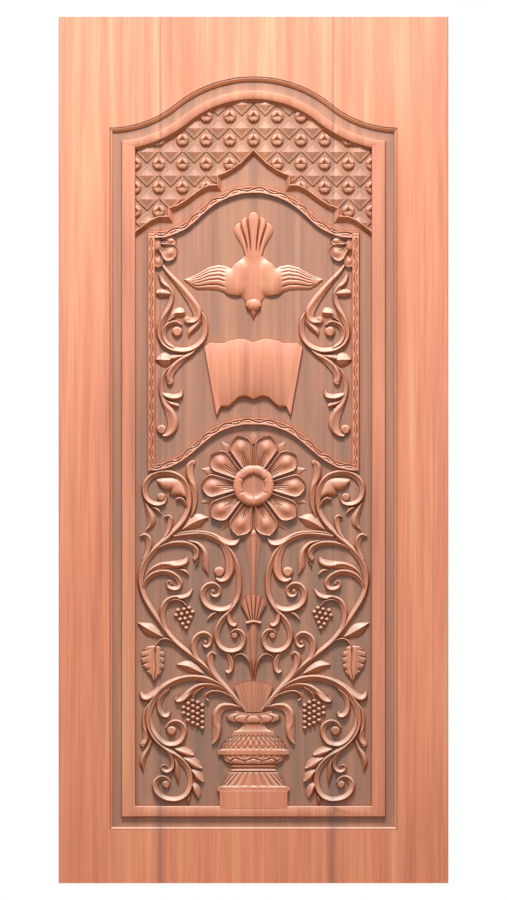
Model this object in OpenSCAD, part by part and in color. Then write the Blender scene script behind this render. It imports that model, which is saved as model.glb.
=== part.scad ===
// Carved wooden door leaf. Three upright boards are tongued together edge to edge. The front face
// has a sunk field with an ogee head, and the field is carved in relief: a lattice above a cusped
// arch, a rope border round a dove and an open book, and a flower on a stem that rises with vine
// scrolls from an urn.
// X runs across the leaf, Y into the wood from the front, Z up. The origin is on the bottom edge.

/* [Leaf] */
// Width of the leaf
leaf_w = 914; // [840:1:1100]
// Height of the leaf
leaf_h = 2032; // [1960:1:2400]
// Thickness of the leaf
leaf_t = 44; // [38:1:60]
// Width of the eased arris along the outer upright edges
arris = 2; // [0.5:0.1:4]

/* [Boards] */
// Face width of the left board
left_board_w = 238.5; // [200:0.5:300]
// Face width of the right board
right_board_w = 270; // [200:0.5:300]
// Thickness of the tongues
tongue_t = 10; // [6:0.5:14]
// Length of the tongues
tongue_l = 12; // [6:0.5:18]
// Gap left for glue round each tongue
glue_gap = 0.2; // [0.1:0.05:0.5]

/* [Sunk field] */
// Width of the carved field between its side walls
field_w = 554; // [460:1:600]
// Height of the field from its foot to the crown of its ogee head
field_h = 1667; // [1500:1:1740]
// Height of the field's foot above the bottom edge
field_foot = 176; // [140:1:220]
// Depth of the carved ground below the face
ground_depth = 15; // [10:0.5:20]
// Width of the flat band that edges the field
band_w = 31; // [20:0.5:40]
// Depth of that band below the face
band_depth = 1.5; // [0.5:0.1:3]
// Width of the cove outside the band
cove_w = 22; // [12:0.5:28]
// Depth of the cove
cove_depth = 9; // [5:0.5:12]
// Width of the small fillet outside the cove
fillet_w = 8; // [4:0.5:12]

/* [Relief] */
// Height of the vine stems above the ground
stem_h = 9; // [6:0.5:12]
// Height of the leaf ridges above the ground
leaf_relief_h = 8; // [5:0.5:12]
// Height of the rope border above the ground
rope_h = 8; // [5:0.5:12]
// Height of the urn, the dove and the flower above the ground
figure_h = 13; // [8:0.5:14]
// Height of the lattice plate above the ground
lattice_h = 5; // [3:0.5:8]

/* [Hidden] */
wood = "#d98a5c";
// How deep the relief is rooted in the ground and in the field's walls, and how far it stays below the face.
sink = 1.5;
wall_root = 1;
face_clear = 0.5;
// How far a cutting shape runs past what it cuts.
far = 10;
face_y = -leaf_t / 2;
seam_left = left_board_w - leaf_w / 2;
seam_right = leaf_w / 2 - right_board_w;
tongue_y = face_y + ground_depth + (leaf_t - ground_depth) / 2;

// The carving is laid out on squares: 118.2 either side of the axis, 711 from foot to crown.
half_u = 118.2;
crown_v = 711;
U = field_w / 2 / half_u;
V = field_h / crown_v;

// Ogee head of the field, in squares: a crown arc, and two flares about points above the shoulders.
crown_r = 104;
crown_at = [0, crown_v - crown_r];
flare_at = [144.3, 784.8];
flare_r = norm(flare_at - crown_at) - crown_r;
meet = atan2(flare_at.y - crown_at.y, flare_at.x);

// Cross-sections of carved strokes: [place across, share of the height], with the feet on the ground.
round_section = [[-1, 0], [-0.5, 1], [0.5, 1], [1, 0]];
ridge_section = [[-1, 0], [0, 1], [1, 0]];
dish_section = [[-1, 0], [-0.8, 1], [0, 0.62], [0.8, 1], [1, 0]];

// Places where the stroke's spine passes, as [across, up, half-width], on the left half.
main_stem = [[13, 101, 2], [35, 127, 2.6], [58, 149.5, 3], [79, 167.5, 3], [95.5, 188.5, 3],
    [109, 211, 3.2], [113, 232, 3.2], [104.5, 252, 3.2], [88, 269, 3.2], [72, 286, 3.2], [64.3, 305, 3.2],
    [68, 324.5, 3.2], [83.5, 335.3, 3.2], [102, 332, 3.2], [109.3, 316.5, 3.2], [100.5, 304.8, 2.8],
    [89, 306.5, 2.3]];
lower_scroll = [[33, 123, 2.4], [57, 130.5, 3.4], [82, 125, 3.4], [99.5, 109, 3.4],
    [105.5, 87, 3.4], [97, 68, 3.2], [80, 54, 3.2], [65.5, 39.5, 3], [63.5, 21, 3.2], [75.5, 9, 3.4],
    [92, 11.5, 3.4], [98.8, 23.5, 3.2], [91, 31, 2.5], [84.5, 25.5, 2]];
inner_stem = [[80, 272, 1.5], [55, 274, 2.8], [33.5, 266.5, 3], [18.5, 247.5, 3], [14, 225, 3],
    [19, 204.5, 3], [32.5, 186.5, 3], [36.8, 168.5, 3], [27, 157.8, 3.2], [13.5, 160, 3.2],
    [10.3, 172.5, 2.8], [19, 177.8, 2]];
side_loop = [[52, 496, 1.5], [47.8, 479, 3], [56, 463, 3.2], [74, 458, 3.2], [90.5, 465.5, 3.2],
    [93.5, 481.5, 3.2], [86, 498.5, 3], [82, 514.5, 2.8], [91.5, 527.5, 2.6], [94.3, 534.5, 1.2]];
stems = [
    main_stem, lower_scroll, inner_stem, side_loop,
    [[34.5, 131, 2], [43.5, 144, 3.6], [41.5, 155, 2.4], [37.8, 153, 1.2]],
    [[39, 120.5, 1.6], [52, 121.5, 2.8], [64, 115.5, 3.6], [77, 108, 2.4]],
    [[23, 111, 1.4], [33, 115.5, 1.8], [47, 113.5, 1.6], [44.5, 107.5, 0.8]],
    [[12, 101, 1.5], [31, 101, 4], [37, 86, 4.6], [37.5, 69.5, 3.5], [41.5, 64, 0.6]],
    [[90, 114.5, 1.4], [94.5, 105, 2.6], [90.5, 93, 3.2], [84, 96.5, 1.8]],
    [[94.5, 69.5, 2.4], [82, 63.5, 3.2], [70.5, 71, 3.2], [72, 84, 2.8], [84, 84.5, 2.2]],
    [[108, 97, 1], [109.8, 86, 2.2], [107.5, 70, 2.8], [110.5, 62.5, 3.2]],
    [[89, 59, 1], [80.5, 44.5, 2.2], [87, 36.5, 2], [91.5, 41.5, 1.5], [87, 41.5, 1]],
    [[88.5, 182.5, 2], [91.3, 191, 2.8], [86.5, 207, 3], [71.5, 211, 2.6], [61, 219.5, 0.6]],
    [[55.5, 150.5, 2], [59.8, 158, 3.2], [55, 172.8, 3], [43.5, 171, 2.4], [46.5, 161.5, 2],
        [49.8, 166, 1.2]],
    [[27, 155.5, 1.4], [22.3, 146, 2.6], [25, 136, 2.4], [28, 137.5, 1]],
    [[23.5, 200, 1.2], [25, 191, 2.5], [19, 183, 2.4], [17, 185, 1]],
    [[21, 203.5, 2], [29, 198.8, 3.2], [46.5, 203, 3.4], [50.5, 217.5, 3], [39.5, 223.8, 2.6], [34, 215, 2],
        [41.8, 213.2, 1.5]],
    [[28.5, 259, 1.4], [25, 250, 3.4], [23.8, 235.5, 4.4], [33, 228, 3], [37.5, 230.5, 2]],
    [[43, 273.5, 1.4], [32, 268, 3.2], [18, 265.3, 3], [13.8, 270.5, 0.6]],
    [[93, 261, 1.4], [79, 265, 2.4], [60, 261.2, 2.8], [57.3, 250, 2.8]],
    [[104.5, 236, 1.4], [93, 242.5, 3.2], [73, 244.5, 4.2], [66, 251.5, 0.8]],
    [[108.5, 227, 1.8], [101, 233.5, 2.8], [83, 235, 2.8], [73.3, 224, 2.8], [81.5, 219.5, 2.4],
        [85.3, 226.5, 1.6]],
    [[106, 255, 1.6], [104.2, 263.5, 3], [109, 273, 2.4], [113.3, 271.5, 1.2]],
    [[90, 270, 1], [83.2, 284.5, 2.8], [86, 292.3, 1.8], [88.8, 291, 0.9]],
    [[60.5, 298, 1.2], [58.6, 315, 3], [64.3, 335, 3.8], [60.8, 346, 2.8]],
    [[92.5, 545, 1.2], [70, 518, 3.6], [56.5, 497.5, 4.8], [60, 487.5, 3.6], [68, 487.5, 3]],
    [[83, 516, 1.5], [88, 518, 2.4], [95, 516, 3]],
    [[89.5, 468, 1.8], [89.5, 476, 2.4], [84, 484.5, 2.3], [72, 483, 1.6]],
    [[59, 459, 1.6], [66, 452.5, 2.8], [80, 440.5, 3.8], [84, 425, 3.8]],
    [[82, 443, 1], [92.7, 418, 2.6], [86.5, 401, 4], [80.3, 385.5, 5.6], [86.5, 373.8, 3.6],
        [91, 373.2, 2]],
    [[91, 414.5, 1.2], [79.5, 411.3, 3.3], [71.5, 419, 0.8]]
];
leaves = [
    [[75, 129.5, 2.2], [98, 115.5, 4], [112, 111, 3], [113.5, 117, 0.6]],
    [[102, 68, 1.5], [109.5, 52, 3.8], [110, 37.5, 0.6]],
    [[80, 53, 0.8], [76.5, 36, 3.4], [74.8, 23.5, 0.4]],
    [[81, 60, 1], [70, 57.5, 4.4], [60.2, 54.8, 1.2]],
    [[70, 50, 1], [60.5, 45, 4.6], [52, 41, 1]],
    [[62, 40, 1], [56, 32, 4.4], [50, 28.5, 1]],
    [[61, 27, 1], [57.5, 19, 4], [55.5, 10, 0.5]],
    [[91, 171.5, 1], [103, 178, 6.3], [115.8, 185.5, 0.4]],
    [[50, 134.5, 1], [64, 141.5, 5.6], [77, 143.8, 0.4]],
    [[66, 267.5, 0.8], [50, 257, 3.2], [48, 243, 4], [44.7, 233, 0.4]],
    [[71, 279, 1], [57, 287.5, 6.8], [45, 291, 0.4]],
    [[109.5, 308, 1], [102, 290, 4.4], [107.7, 278, 0.4]],
    [[66.5, 309, 1.2], [76, 324, 5.5], [88, 326.5, 6.2], [97, 329, 0.8]],
    [[53.5, 494, 2], [59.5, 480.5, 4], [65, 470.8, 0.4]],
    [[82, 494, 0.8], [75, 496.5, 3.4], [69.5, 493.5, 0.8]],
    [[82, 449, 1], [89, 449, 7], [98, 449, 0.5]],
    [[88, 407.5, 1], [80, 404, 3], [74.8, 402, 1.2]]
];
// Round eyes and buds of the scrolls, as [across, up, radius].
eyes = [[92.3, 311, 4.3], [87.5, 23.5, 4.3], [82, 77.3, 5.2], [19, 172.5, 3.6], [34.3, 236, 5.6],
    [76.5, 476.5, 5.6], [92, 378.5, 5.2]];

function clamp_index(p, i) = p[max(0, min(i, len(p) - 1))];

function spline_point(a, b, c, d, t) =
    0.5 * (2 * b + (c - a) * t + (2 * a - 5 * b + 4 * c - d) * t * t + (3 * b - a - 3 * c + d) * t * t * t);

// A smooth run through the given places, with as many steps between two as their bend needs.
function bend(p, i) =
    let (a = clamp_index(p, i - 1), b = p[i], c = p[i + 1], d = clamp_index(p, i + 2))
    let (e = [b.x - a.x, b.y - a.y], f = [d.x - c.x, d.y - c.y])
    norm(e) * norm(f) == 0 ? 40 : acos(max(-1, min(1, e * f / norm(e) / norm(f))));
function smooth(p) = concat(
    [for (i = [0 : len(p) - 2])
        let (steps = max(1, min(2, ceil(bend(p, i) / 135))))
        for (k = [0 : steps - 1])
            spline_point(clamp_index(p, i - 1), p[i], p[i + 1], clamp_index(p, i + 2), k / steps)],
    [p[len(p) - 1]]);

// Direction across a run of places at one of them.
function across(q, i) =
    let (a = clamp_index(q, i - 1), b = clamp_index(q, i + 1), d = [b.x - a.x, b.y - a.y])
    [-d.y, d.x] / norm(d);

// One carved stroke: a section carried along a run of places, lower where the stroke is narrow.
module stroke(places, height, section, smoothed = true) {
    q = smoothed ? smooth(places) : places;
    widest = max([for (c = q) c.z]);
    n = len(section);
    points = [for (i = [0 : len(q) - 1], s = section)
        let (c = q[i], a = across(q, i), h = height * (0.4 + 0.6 * c.z / widest))
        [(c.x + a.x * c.z * s[0]) * U, (c.y + a.y * c.z * s[0]) * V, h * s[1]]];
    sides = [for (i = [0 : len(q) - 2], j = [0 : n - 1])
        [i * n + j, i * n + (j + 1) % n, (i + 1) * n + (j + 1) % n, (i + 1) * n + j]];
    last = (len(q) - 1) * n;
    polyhedron(points, concat(sides, [[for (j = [n - 1 : -1 : 0]) j]], [[for (j = [0 : n - 1]) last + j]]));
}

// Draws its children on the left half and mirrored on the right half.
module both_halves() {
    children();
    mirror([1, 0, 0]) children();
}

// A bead standing on the ground.
module bead(u, v, r, sides = 6) {
    translate([u * U, v * V, 0]) cylinder(h = 0.9 * r * U, r1 = r * U, r2 = 0.55 * r * U, $fn = sides);
}

// Outline of the ogee-headed field grown by so many mm at the sides and, in proportion, at head and foot.
function head_arcs(side, grow) =
    let (start = 270 - asin((flare_at.x - side) / (flare_r - grow)))
    concat(
        [for (k = [0 : 5]) let (a = start + (180 + meet - start) * k / 5)
            flare_at + (flare_r - grow) * [cos(a), sin(a)]],
        [for (k = [1 : 6]) let (a = meet + (90 - meet) * k / 6)
            crown_at + (crown_r + grow) * [cos(a), sin(a)]]);
function right_edge(side, grow) = concat([[side, -grow]], head_arcs(side, grow));
function field_outline(grow) =
    let (r = right_edge(half_u + grow / U, grow / U / 1.22), n = len(r))
    [for (p = concat(r, [for (i = [n - 2 : -1 : 0]) [-r[i].x, r[i].y]])) [p.x * U, p.y * V]];

// What is cut away for the field, as rings from the face inwards: fillet, cove, band, wall and ground.
module field_hollow() {
    outer = band_w + cove_w + fillet_w;
    rings = [[outer, -1], [outer, band_depth + 1], [band_w + cove_w, band_depth + 1],
        [band_w + cove_w - 3, cove_depth], [band_w + 1, cove_depth * 0.7], [band_w, band_depth],
        [0, band_depth], [0, ground_depth]];
    n = len(field_outline(0));
    last = (len(rings) - 1) * n;
    points = [for (r = rings, p = field_outline(r[0])) [p.x, p.y, -r[1]]];
    sides = [for (k = [0 : len(rings) - 2], i = [0 : n - 1])
        [k * n + i, k * n + (i + 1) % n, (k + 1) * n + (i + 1) % n, (k + 1) * n + i]];
    polyhedron(points, concat(sides, [[for (i = [n - 1 : -1 : 0]) i]], [[for (i = [0 : n - 1]) last + i]]));
}

// Places given for the left half, run on over the axis to the right half.
function whole(p) = concat([for (i = [len(p) - 1 : -1 : 0]) p[i]], [for (q = p) if (q.x > 0) [-q.x, q.y]]);
function wide(p, w) = [for (q = p) [q.x, q.y, w]];

// The cusped arch under the lattice, as [across, up] on the left half.
cusps = [[0, 656.5], [6, 651], [14, 643.5], [24, 636.5], [33, 632], [35, 621], [40, 621.5], [47, 620],
    [54, 616], [62, 610], [70, 604.5], [81, 599], [83.5, 589], [88, 590], [96, 589.5], [104, 586],
    [112, 579.5], [124, 572]];

// Lattice of diamonds: a round boss and a pyramid by turns, above the cusped arch.
pitch = 23.7;
boss_r = 6.4;
boss_h = 4;
pyramid_r = 10.4;
pyramid_h = 5;
module lattice() {
    above = concat(whole(cusps), [[-124, 730], [124, 730]]);
    intersection() {
        translate([0, 0, -sink]) linear_extrude(ground_depth + sink)
            polygon([for (p = above) [p.x * U, p.y * V]]);
        union() {
            translate([-field_w / 2 - far, 560 * V, -sink - 1])
                cube([field_w + 2 * far, 180 * V, lattice_h + sink + 1]);
            for (i = [-5 : 5], j = [-1 : 4])
                translate([i * pitch * U, (692 - j * pitch) * V, lattice_h]) {
                    cylinder(h = boss_h, r1 = boss_r * U, r2 = 0.62 * boss_r * U, $fn = 5);
                    translate([pitch / 2 * U, -pitch / 2 * V, 0])
                        cylinder(h = pyramid_h, r1 = pyramid_r * U, r2 = 0, $fn = 4);
                }
        }
    }
    stroke(wide(whole(cusps), 3.2), lattice_h + 7, ridge_section, false);
}

// Rope border: a ridge that swings from side to side.
rope_u = 101.7;
function ogee_line(crown, shoulder, big, small, n) =
    let (lift = crown - shoulder, far_u = sqrt(lift * (2 * (big + small) - lift)),
        turn = acos((big + small - lift) / (big + small)))
    concat(
        [for (k = [0 : n]) let (a = 90 - turn * k / n) [big * cos(a), crown - big + big * sin(a)]],
        [for (k = [1 : n]) let (a = 270 - turn * (1 - k / n))
            [far_u + small * cos(a), shoulder + small + small * sin(a)]],
        [[rope_u, shoulder]]);
module rope(line) {
    n = len(line);
    points = [for (i = [0 : n - 1], s = [[-1, 0], [i % 2 - 0.5, 1], [1, 0]])
        let (a = across(line, i) * s[0] * 3.4)
        [(line[i].x + a.x) * U, (line[i].y + a.y) * V, rope_h * s[1]]];
    sides = [for (i = [0 : n - 2], j = [0 : 2])
        [i * 3 + j, i * 3 + (j + 1) % 3, i * 3 + 3 + (j + 1) % 3, i * 3 + 3 + j]];
    polyhedron(points, concat(sides, [[2, 1, 0], [n * 3 - 3, n * 3 - 2, n * 3 - 1]]));
}
module rope_border() {
    both_halves() {
        rope([for (k = [0 : 30]) [rope_u, 577.4 - k * 8]]);
    }
    rope(whole(ogee_line(618.5, 574, 78, 45, 6)));
    rope(whole(ogee_line(387, 341, 83, 46, 6)));
}

// Dove with spread wings, head down.
module dove() {
    stroke([[0, 562, 5], [0, 545, 12], [0, 528, 14.5], [0, 514, 11], [0, 503, 8.6], [0, 495.5, 4],
        [0, 489, 0.6]], figure_h, round_section);
    stroke([[0, 552, 3.5], [0, 580, 5.2], [0, 590, 5.6], [0, 597, 1.5]], figure_h - 2, ridge_section);
    both_halves() {
        stroke([[6, 530, 13], [22, 527.5, 13.5], [35, 531, 12.5], [47, 529, 11], [58, 527, 7],
            [69, 530, 0.6]], figure_h - 3, round_section, false);
        stroke([[5, 550, 3], [8.5, 568, 4], [11.5, 582, 3.8], [12.5, 591, 1]], figure_h - 4, ridge_section);
        stroke([[8, 553, 2], [11.5, 567, 3.6], [17.5, 582.5, 1]], figure_h - 6, ridge_section);
    }
}

// Open book, each half a block of pages with a curled fore edge.
page = [[0, 409], [9, 413], [15, 411.5], [25, 402.5], [33, 402.5], [37, 392.5], [49, 461], [44, 465.5],
    [30, 465], [15, 469.5], [0, 466]];
other_page = [for (i = [len(page) - 2 : -1 : 1]) [-page[i].x, page[i].y]];
module book() {
    translate([0, 0, -sink]) linear_extrude(figure_h - 5 + sink)
        polygon([for (p = concat(page, other_page)) [p.x * U, p.y * V]]);
    both_halves() {
        stroke([[9, 412, 8], [11, 469, 8]], figure_h - 2, round_section, false);
        stroke([[32, 403, 6], [38, 464, 7]], figure_h - 3, round_section, false);
    }
}

// Flower of ten dished petals round a ringed button.
flower_v = 322.5;
module flower() {
    for (k = [0 : 9]) {
        a = 18 + 36 * k;
        stroke([for (p = [[17, 4.4], [30, 8.6], [41, 11.8], [48, 8.6], [53, 0.8]])
            [p[0] * cos(a + 90), flower_v + p[0] * sin(a + 90), p[1]]], figure_h - 2, dish_section, false);
        stroke([for (p = [[44, 2.6], [54.5, 0.6]])
            [p[0] * cos(a + 72), flower_v + p[0] * sin(a + 72), p[1]]], figure_h - 5, ridge_section, false);
    }
    translate([0, flower_v * V, -sink]) rotate_extrude($fn = 16)
        polygon([[0, 0], [21 * U, 0], [20 * U, figure_h - 1], [16 * U, figure_h + sink],
            [11 * U, figure_h - 1], [10 * U, figure_h - 3], [0, figure_h - 3]]);
}

// Upright stem below the flower: trumpet, shell, collar, shaft.
module centre_stem() {
    stroke([[0, 272, 10], [0, 252, 6], [0, 235, 4], [0, 213, 2.6]], stem_h, round_section);
    for (k = [-2 : 2])
        hull() {
            bead(k * 1.8, 189, 2.2, 4);
            bead(12.5 * sin(k * 33), 199 + 12 * cos(k * 33), 3.2, 5);
        }
    stroke([[-7.5, 185.5, 2.2], [7.5, 185.5, 2.2]], stem_h, round_section, false);
    stroke([[0, 184, 4.6], [0, 150, 3.6], [0, 125, 1.6]], stem_h - 2, round_section);
    for (k = [-3 : 3])
        hull() {
            bead(k * 2.3, 99, 1.4, 4);
            bead(19 * sin(k * 18), 105 + 19 * cos(k * 18), 2.9, 5);
        }
}

// Urn: a turned outline, flattened into relief.
urn_outline = [[33, 0], [33, 17], [36.5, 18], [36.5, 21], [31, 21.5], [24, 32], [20, 36], [22, 42],
    [29, 48], [33, 54], [35, 54.5], [35, 58.5], [33, 60], [27, 69], [20.5, 74], [20.5, 77], [12.5, 82],
    [14, 85], [27, 87], [28, 91], [26, 95], [20, 95.5], [20, 98]];
module urn() {
    intersection() {
        scale([1, 1, figure_h / (36.5 * U)]) rotate([-90, 0, 0]) rotate_extrude($fn = 12)
            polygon(concat([[0, 0]], [for (p = urn_outline) [p.x * U, p.y * V]], [[0, 98 * V]]));
        translate([-field_w / 2, 0, -sink]) cube([field_w, field_h, figure_h + far]);
    }
}

// Grapes: a hanging bunch under the lower arm and one inside the upper hook.
bunch_tops = [102.5, 105.5, 107.5, 104.5, 100.5];
bunch_counts = [5, 5, 5, 4, 2];
module grapes() {
    for (k = [0 : 4], j = [0 : bunch_counts[k] - 1]) bead(51.3 + 4.7 * k, bunch_tops[k] - 5.6 * j, 2.4, 4);
    for (row = [[75.5, 197.7, 3], [77.4, 192.7, 4], [73.3, 188.6, 3], [70.8, 184, 2], [67.4, 180.2, 1]],
        k = [0 : row[2] - 1]) bead(row[0] - 5.4 * k, row[1] + 1.1 * k, 2.6, 4);
}

// Vine scrolls, leaves and grapes of both halves.
module vines() {
    both_halves() {
        for (places = stems) stroke(places, stem_h, ridge_section);
        for (places = leaves) stroke(places, leaf_relief_h, ridge_section);
        stroke([[98, 162, 3], [100, 152, 11.5], [100, 141, 9.5], [100, 125.5, 0.5]],
            leaf_relief_h, ridge_section);
        for (e = eyes) bead(e[0], e[1], e[2]);
        bead(97.5, 565, 7);
        for (a = [185, 225, 265])
            stroke([for (p = [[5, 4], [14, 6], [20, 1]]) [97 + p[0] * cos(a), 565 + p[0] * sin(a), p[1]]],
                leaf_relief_h, ridge_section, false);
        grapes();
    }
}

// Everything that stands up from the ground, kept inside the field and below the face.
module relief() {
    intersection() {
        union() {
            lattice();
            rope_border();
            dove();
            book();
            flower();
            centre_stem();
            urn();
            vines();
        }
        translate([0, 0, -sink]) linear_extrude(ground_depth + sink - face_clear)
            polygon(field_outline(wall_root));
    }
}

// The whole leaf, carved, before it is parted into boards.
module carved_leaf() {
    difference() {
        linear_extrude(leaf_h) polygon([for (sx = [-1, 1], k = [0 : 3])
            let (x = leaf_w / 2, y = leaf_t / 2)
            sx * [[x - arris, -y], [x, arris - y], [x, y - arris], [x - arris, y]][k]]);
        translate([0, face_y, field_foot]) rotate([90, 0, 0]) field_hollow();
    }
    translate([0, face_y + ground_depth, field_foot]) rotate([90, 0, 0]) relief();
}

// One board: the part of the leaf between two uprights, with a tongue on its right or a groove on its left.
module board(from, to, tongue, groove) {
    intersection() {
        carved_leaf();
        translate([0, 0, -1]) linear_extrude(leaf_h + 2) difference() {
            union() {
                translate([from, face_y - far]) square([to - from, leaf_t + 2 * far]);
                if (tongue) translate([from, tongue_y - tongue_t / 2])
                    square([to - from + tongue_l, tongue_t]);
            }
            if (groove) translate([from - far, tongue_y - tongue_t / 2 - glue_gap])
                square([far + tongue_l + glue_gap, tongue_t + 2 * glue_gap]);
        }
    }
}

module left_board() {
    color(wood) board(-leaf_w / 2 - far, seam_left, tongue = true, groove = false);
}

module centre_board() {
    color(wood) board(seam_left, seam_right, tongue = true, groove = true);
}

module right_board() {
    color(wood) board(seam_right, leaf_w / 2 + far, tongue = false, groove = true);
}

left_board();
centre_board();
right_board();
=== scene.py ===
"""Carved wooden door leaf: the three boards of the frame, with the carving cut fine, and their wood."""

import math

import bmesh
import bpy
import numpy as np
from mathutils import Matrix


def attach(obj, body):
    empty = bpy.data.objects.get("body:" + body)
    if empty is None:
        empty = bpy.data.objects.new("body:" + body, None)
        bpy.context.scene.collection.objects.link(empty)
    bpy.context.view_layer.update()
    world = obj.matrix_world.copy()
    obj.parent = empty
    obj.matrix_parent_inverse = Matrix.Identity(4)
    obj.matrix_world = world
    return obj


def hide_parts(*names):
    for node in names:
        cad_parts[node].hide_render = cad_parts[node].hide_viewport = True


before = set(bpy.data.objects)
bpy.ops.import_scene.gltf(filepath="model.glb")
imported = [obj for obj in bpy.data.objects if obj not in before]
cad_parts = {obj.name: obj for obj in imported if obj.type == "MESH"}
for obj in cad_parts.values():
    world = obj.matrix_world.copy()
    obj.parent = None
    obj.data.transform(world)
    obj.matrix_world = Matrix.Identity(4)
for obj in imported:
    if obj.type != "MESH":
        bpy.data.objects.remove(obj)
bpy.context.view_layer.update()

# Sizes in metres. The front face is at -y and the origin is on the bottom edge.
LEAF_W, LEAF_H, LEAF_T = 0.914, 2.032, 0.044
ARRIS = 0.002
SEAM_LEFT, SEAM_RIGHT = -0.2185, 0.187
TONGUE_T, TONGUE_L, TONGUE_Y, GLUE_GAP = 0.010, 0.012, 0.0075, 0.0002
FIELD_W, FIELD_H, FIELD_FOOT, GROUND_DEPTH = 0.554, 1.667, 0.176, 0.015
FACE = -LEAF_T / 2
GROUND = FACE + GROUND_DEPTH
# Lines in the plain margins: the moulding and the carving lie between them.
MARGIN_X, MARGIN_FOOT, MARGIN_HEAD = 0.36, 0.1, LEAF_H - 0.05
# What counts as carved reaches this far behind the ground.
FRONT_SPARE = 0.001
# A cutter goes this far past what it cuts, and the outer boards are cut this far past the leaf's edges.
SPARE, PAST_EDGE = 0.05, 0.01

# The carving is laid out on squares: 118.2 either side of the axis and 711 from foot to crown.
HALF_U, CROWN_V = 118.2, 711.0
SQUARE_W, SQUARE_H = FIELD_W / 2 / HALF_U, FIELD_H / CROWN_V
# Squares from the moulding's outer edge to the field's edge.
MOULDING_W = 26
# Ogee head of the field: a crown arc on the axis, and on either side a flare that meets it at an angle.
ARC_V, ARC_R = 607, 104
FLARE_U, FLARE_V, FLARE_R = 144.3, 784.8, 125
MEET = math.radians(50.94)
# Points along each straight side of an outline.
SIDE_STEPS = 12
# Millimetres that each shell reaches below the ground, out of sight.
SINK = 1.2


def place(u, v, h):
    """Squares to metres: x is u squares left of the axis, z is v squares above the field's foot, and y
    is h millimetres out from the ground."""
    u, v, h = np.asarray(u), np.asarray(v), np.asarray(h)
    return np.stack(np.broadcast_arrays(-u * SQUARE_W, GROUND - h / 1000, FIELD_FOOT + v * SQUARE_H), -1)


def solid(rings):
    """Closed skin over rings of the same number of points: ring i is joined to ring i + 1 all round, and
    the first and last rings are closed by flat caps."""
    n, m, _ = rings.shape
    i, j = np.meshgrid(np.arange(n - 1), np.arange(m), indexing="ij")
    k = (j + 1) % m
    quads = np.stack([i * m + j, i * m + k, (i + 1) * m + k, (i + 1) * m + j], -1).reshape(-1, 4)
    caps = [np.arange(m)[::-1], (n - 1) * m + np.arange(m)]
    return rings.reshape(-1, 3), quads, caps


def relief(u, v, h):
    """Closed block under a grid of places and heights: the first and last rows and columns are repeated
    below the ground, each row is a ring joined there, and the end caps lie flat out of sight."""
    top = np.pad(place(u, v, h), ((1, 1), (1, 1), (0, 0)), mode="edge")
    top[[0, -1], :, 1] = top[:, [0, -1], 1] = GROUND + SINK / 1000
    return solid(top)


def both(shells):
    """The shells of the left half, and the same with x turned round for the right half."""
    return shells + [(points * [-1, 1, 1], quads, caps) for points, quads, caps in shells]


def mesh_of(name, shells):
    """One mesh of many shells, put in with whole arrays."""
    starts = np.cumsum([0] + [len(s[0]) for s in shells])[:-1]
    points = np.concatenate([s[0] for s in shells])
    quads = np.concatenate([s[1] + k for s, k in zip(shells, starts)])
    caps = [c + k for s, k in zip(shells, starts) for c in s[2]]
    loops = np.concatenate([quads.ravel(), *caps])
    totals = np.concatenate([np.full(len(quads), 4), [len(c) for c in caps]]).astype(np.int32)
    mesh = bpy.data.meshes.new(name)
    mesh.vertices.add(len(points))
    mesh.loops.add(len(loops))
    mesh.polygons.add(len(totals))
    mesh.vertices.foreach_set("co", points.astype(np.float32).ravel())
    mesh.loops.foreach_set("vertex_index", loops.astype(np.int32))
    mesh.polygons.foreach_set("loop_start", np.concatenate([[0], np.cumsum(totals)[:-1]]).astype(np.int32))
    mesh.polygons.foreach_set("loop_total", totals)
    mesh.update(calc_edges=True)
    mesh.validate()
    return mesh


def spline(places, step):
    """Smooth run through places, about a step apart: on each span the cubic whose slope at a place is half
    the way from the place before to the place after."""
    p = np.asarray(places, float)
    q = np.vstack([2 * p[0] - p[1], p, 2 * p[-1] - p[-2]])
    spans = np.hypot(*np.diff(p[:, :2], axis=0).T)
    counts = np.maximum(2, np.ceil(spans / step)).astype(int)
    t = np.concatenate([i + np.arange(k) / k for i, k in enumerate(counts)] + [[len(p) - 1]])
    i = np.minimum(t.astype(int), len(p) - 2)
    f = (t - i)[:, None]
    a, b, c, d = q[i], q[i + 1], q[i + 2], q[i + 3]
    return 0.5 * (2 * b + (c - a) * f + (2 * a - 5 * b + 4 * c - d) * f**2 + (3 * b - a - 3 * c + d) * f**3)


# Cross-sections of carved strokes: places across from -1 to 1, and the share of the height at each.
ROUNDED = np.array([(-1, 0.2), (-0.93, 0.55), (-0.76, 0.8), (-0.42, 0.96), (0, 1), (0.42, 0.96), (0.76, 0.8),
                    (0.93, 0.55), (1, 0.2)]).T
RIDGED = np.array([(-1, 0.1), (-0.96, 0.18), (-0.5, 0.58), (0, 1), (0.5, 0.58), (0.96, 0.18), (1, 0.1)]).T
DISHED = np.array([(-1, 0.12), (-0.95, 0.46), (-0.6, 0.54), (-0.2, 0.7), (0.12, 0.9), (0.34, 1),
                   (0.46, 0.98), (0.74, 0.66), (0.95, 0.28), (1, 0.1)]).T


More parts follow.
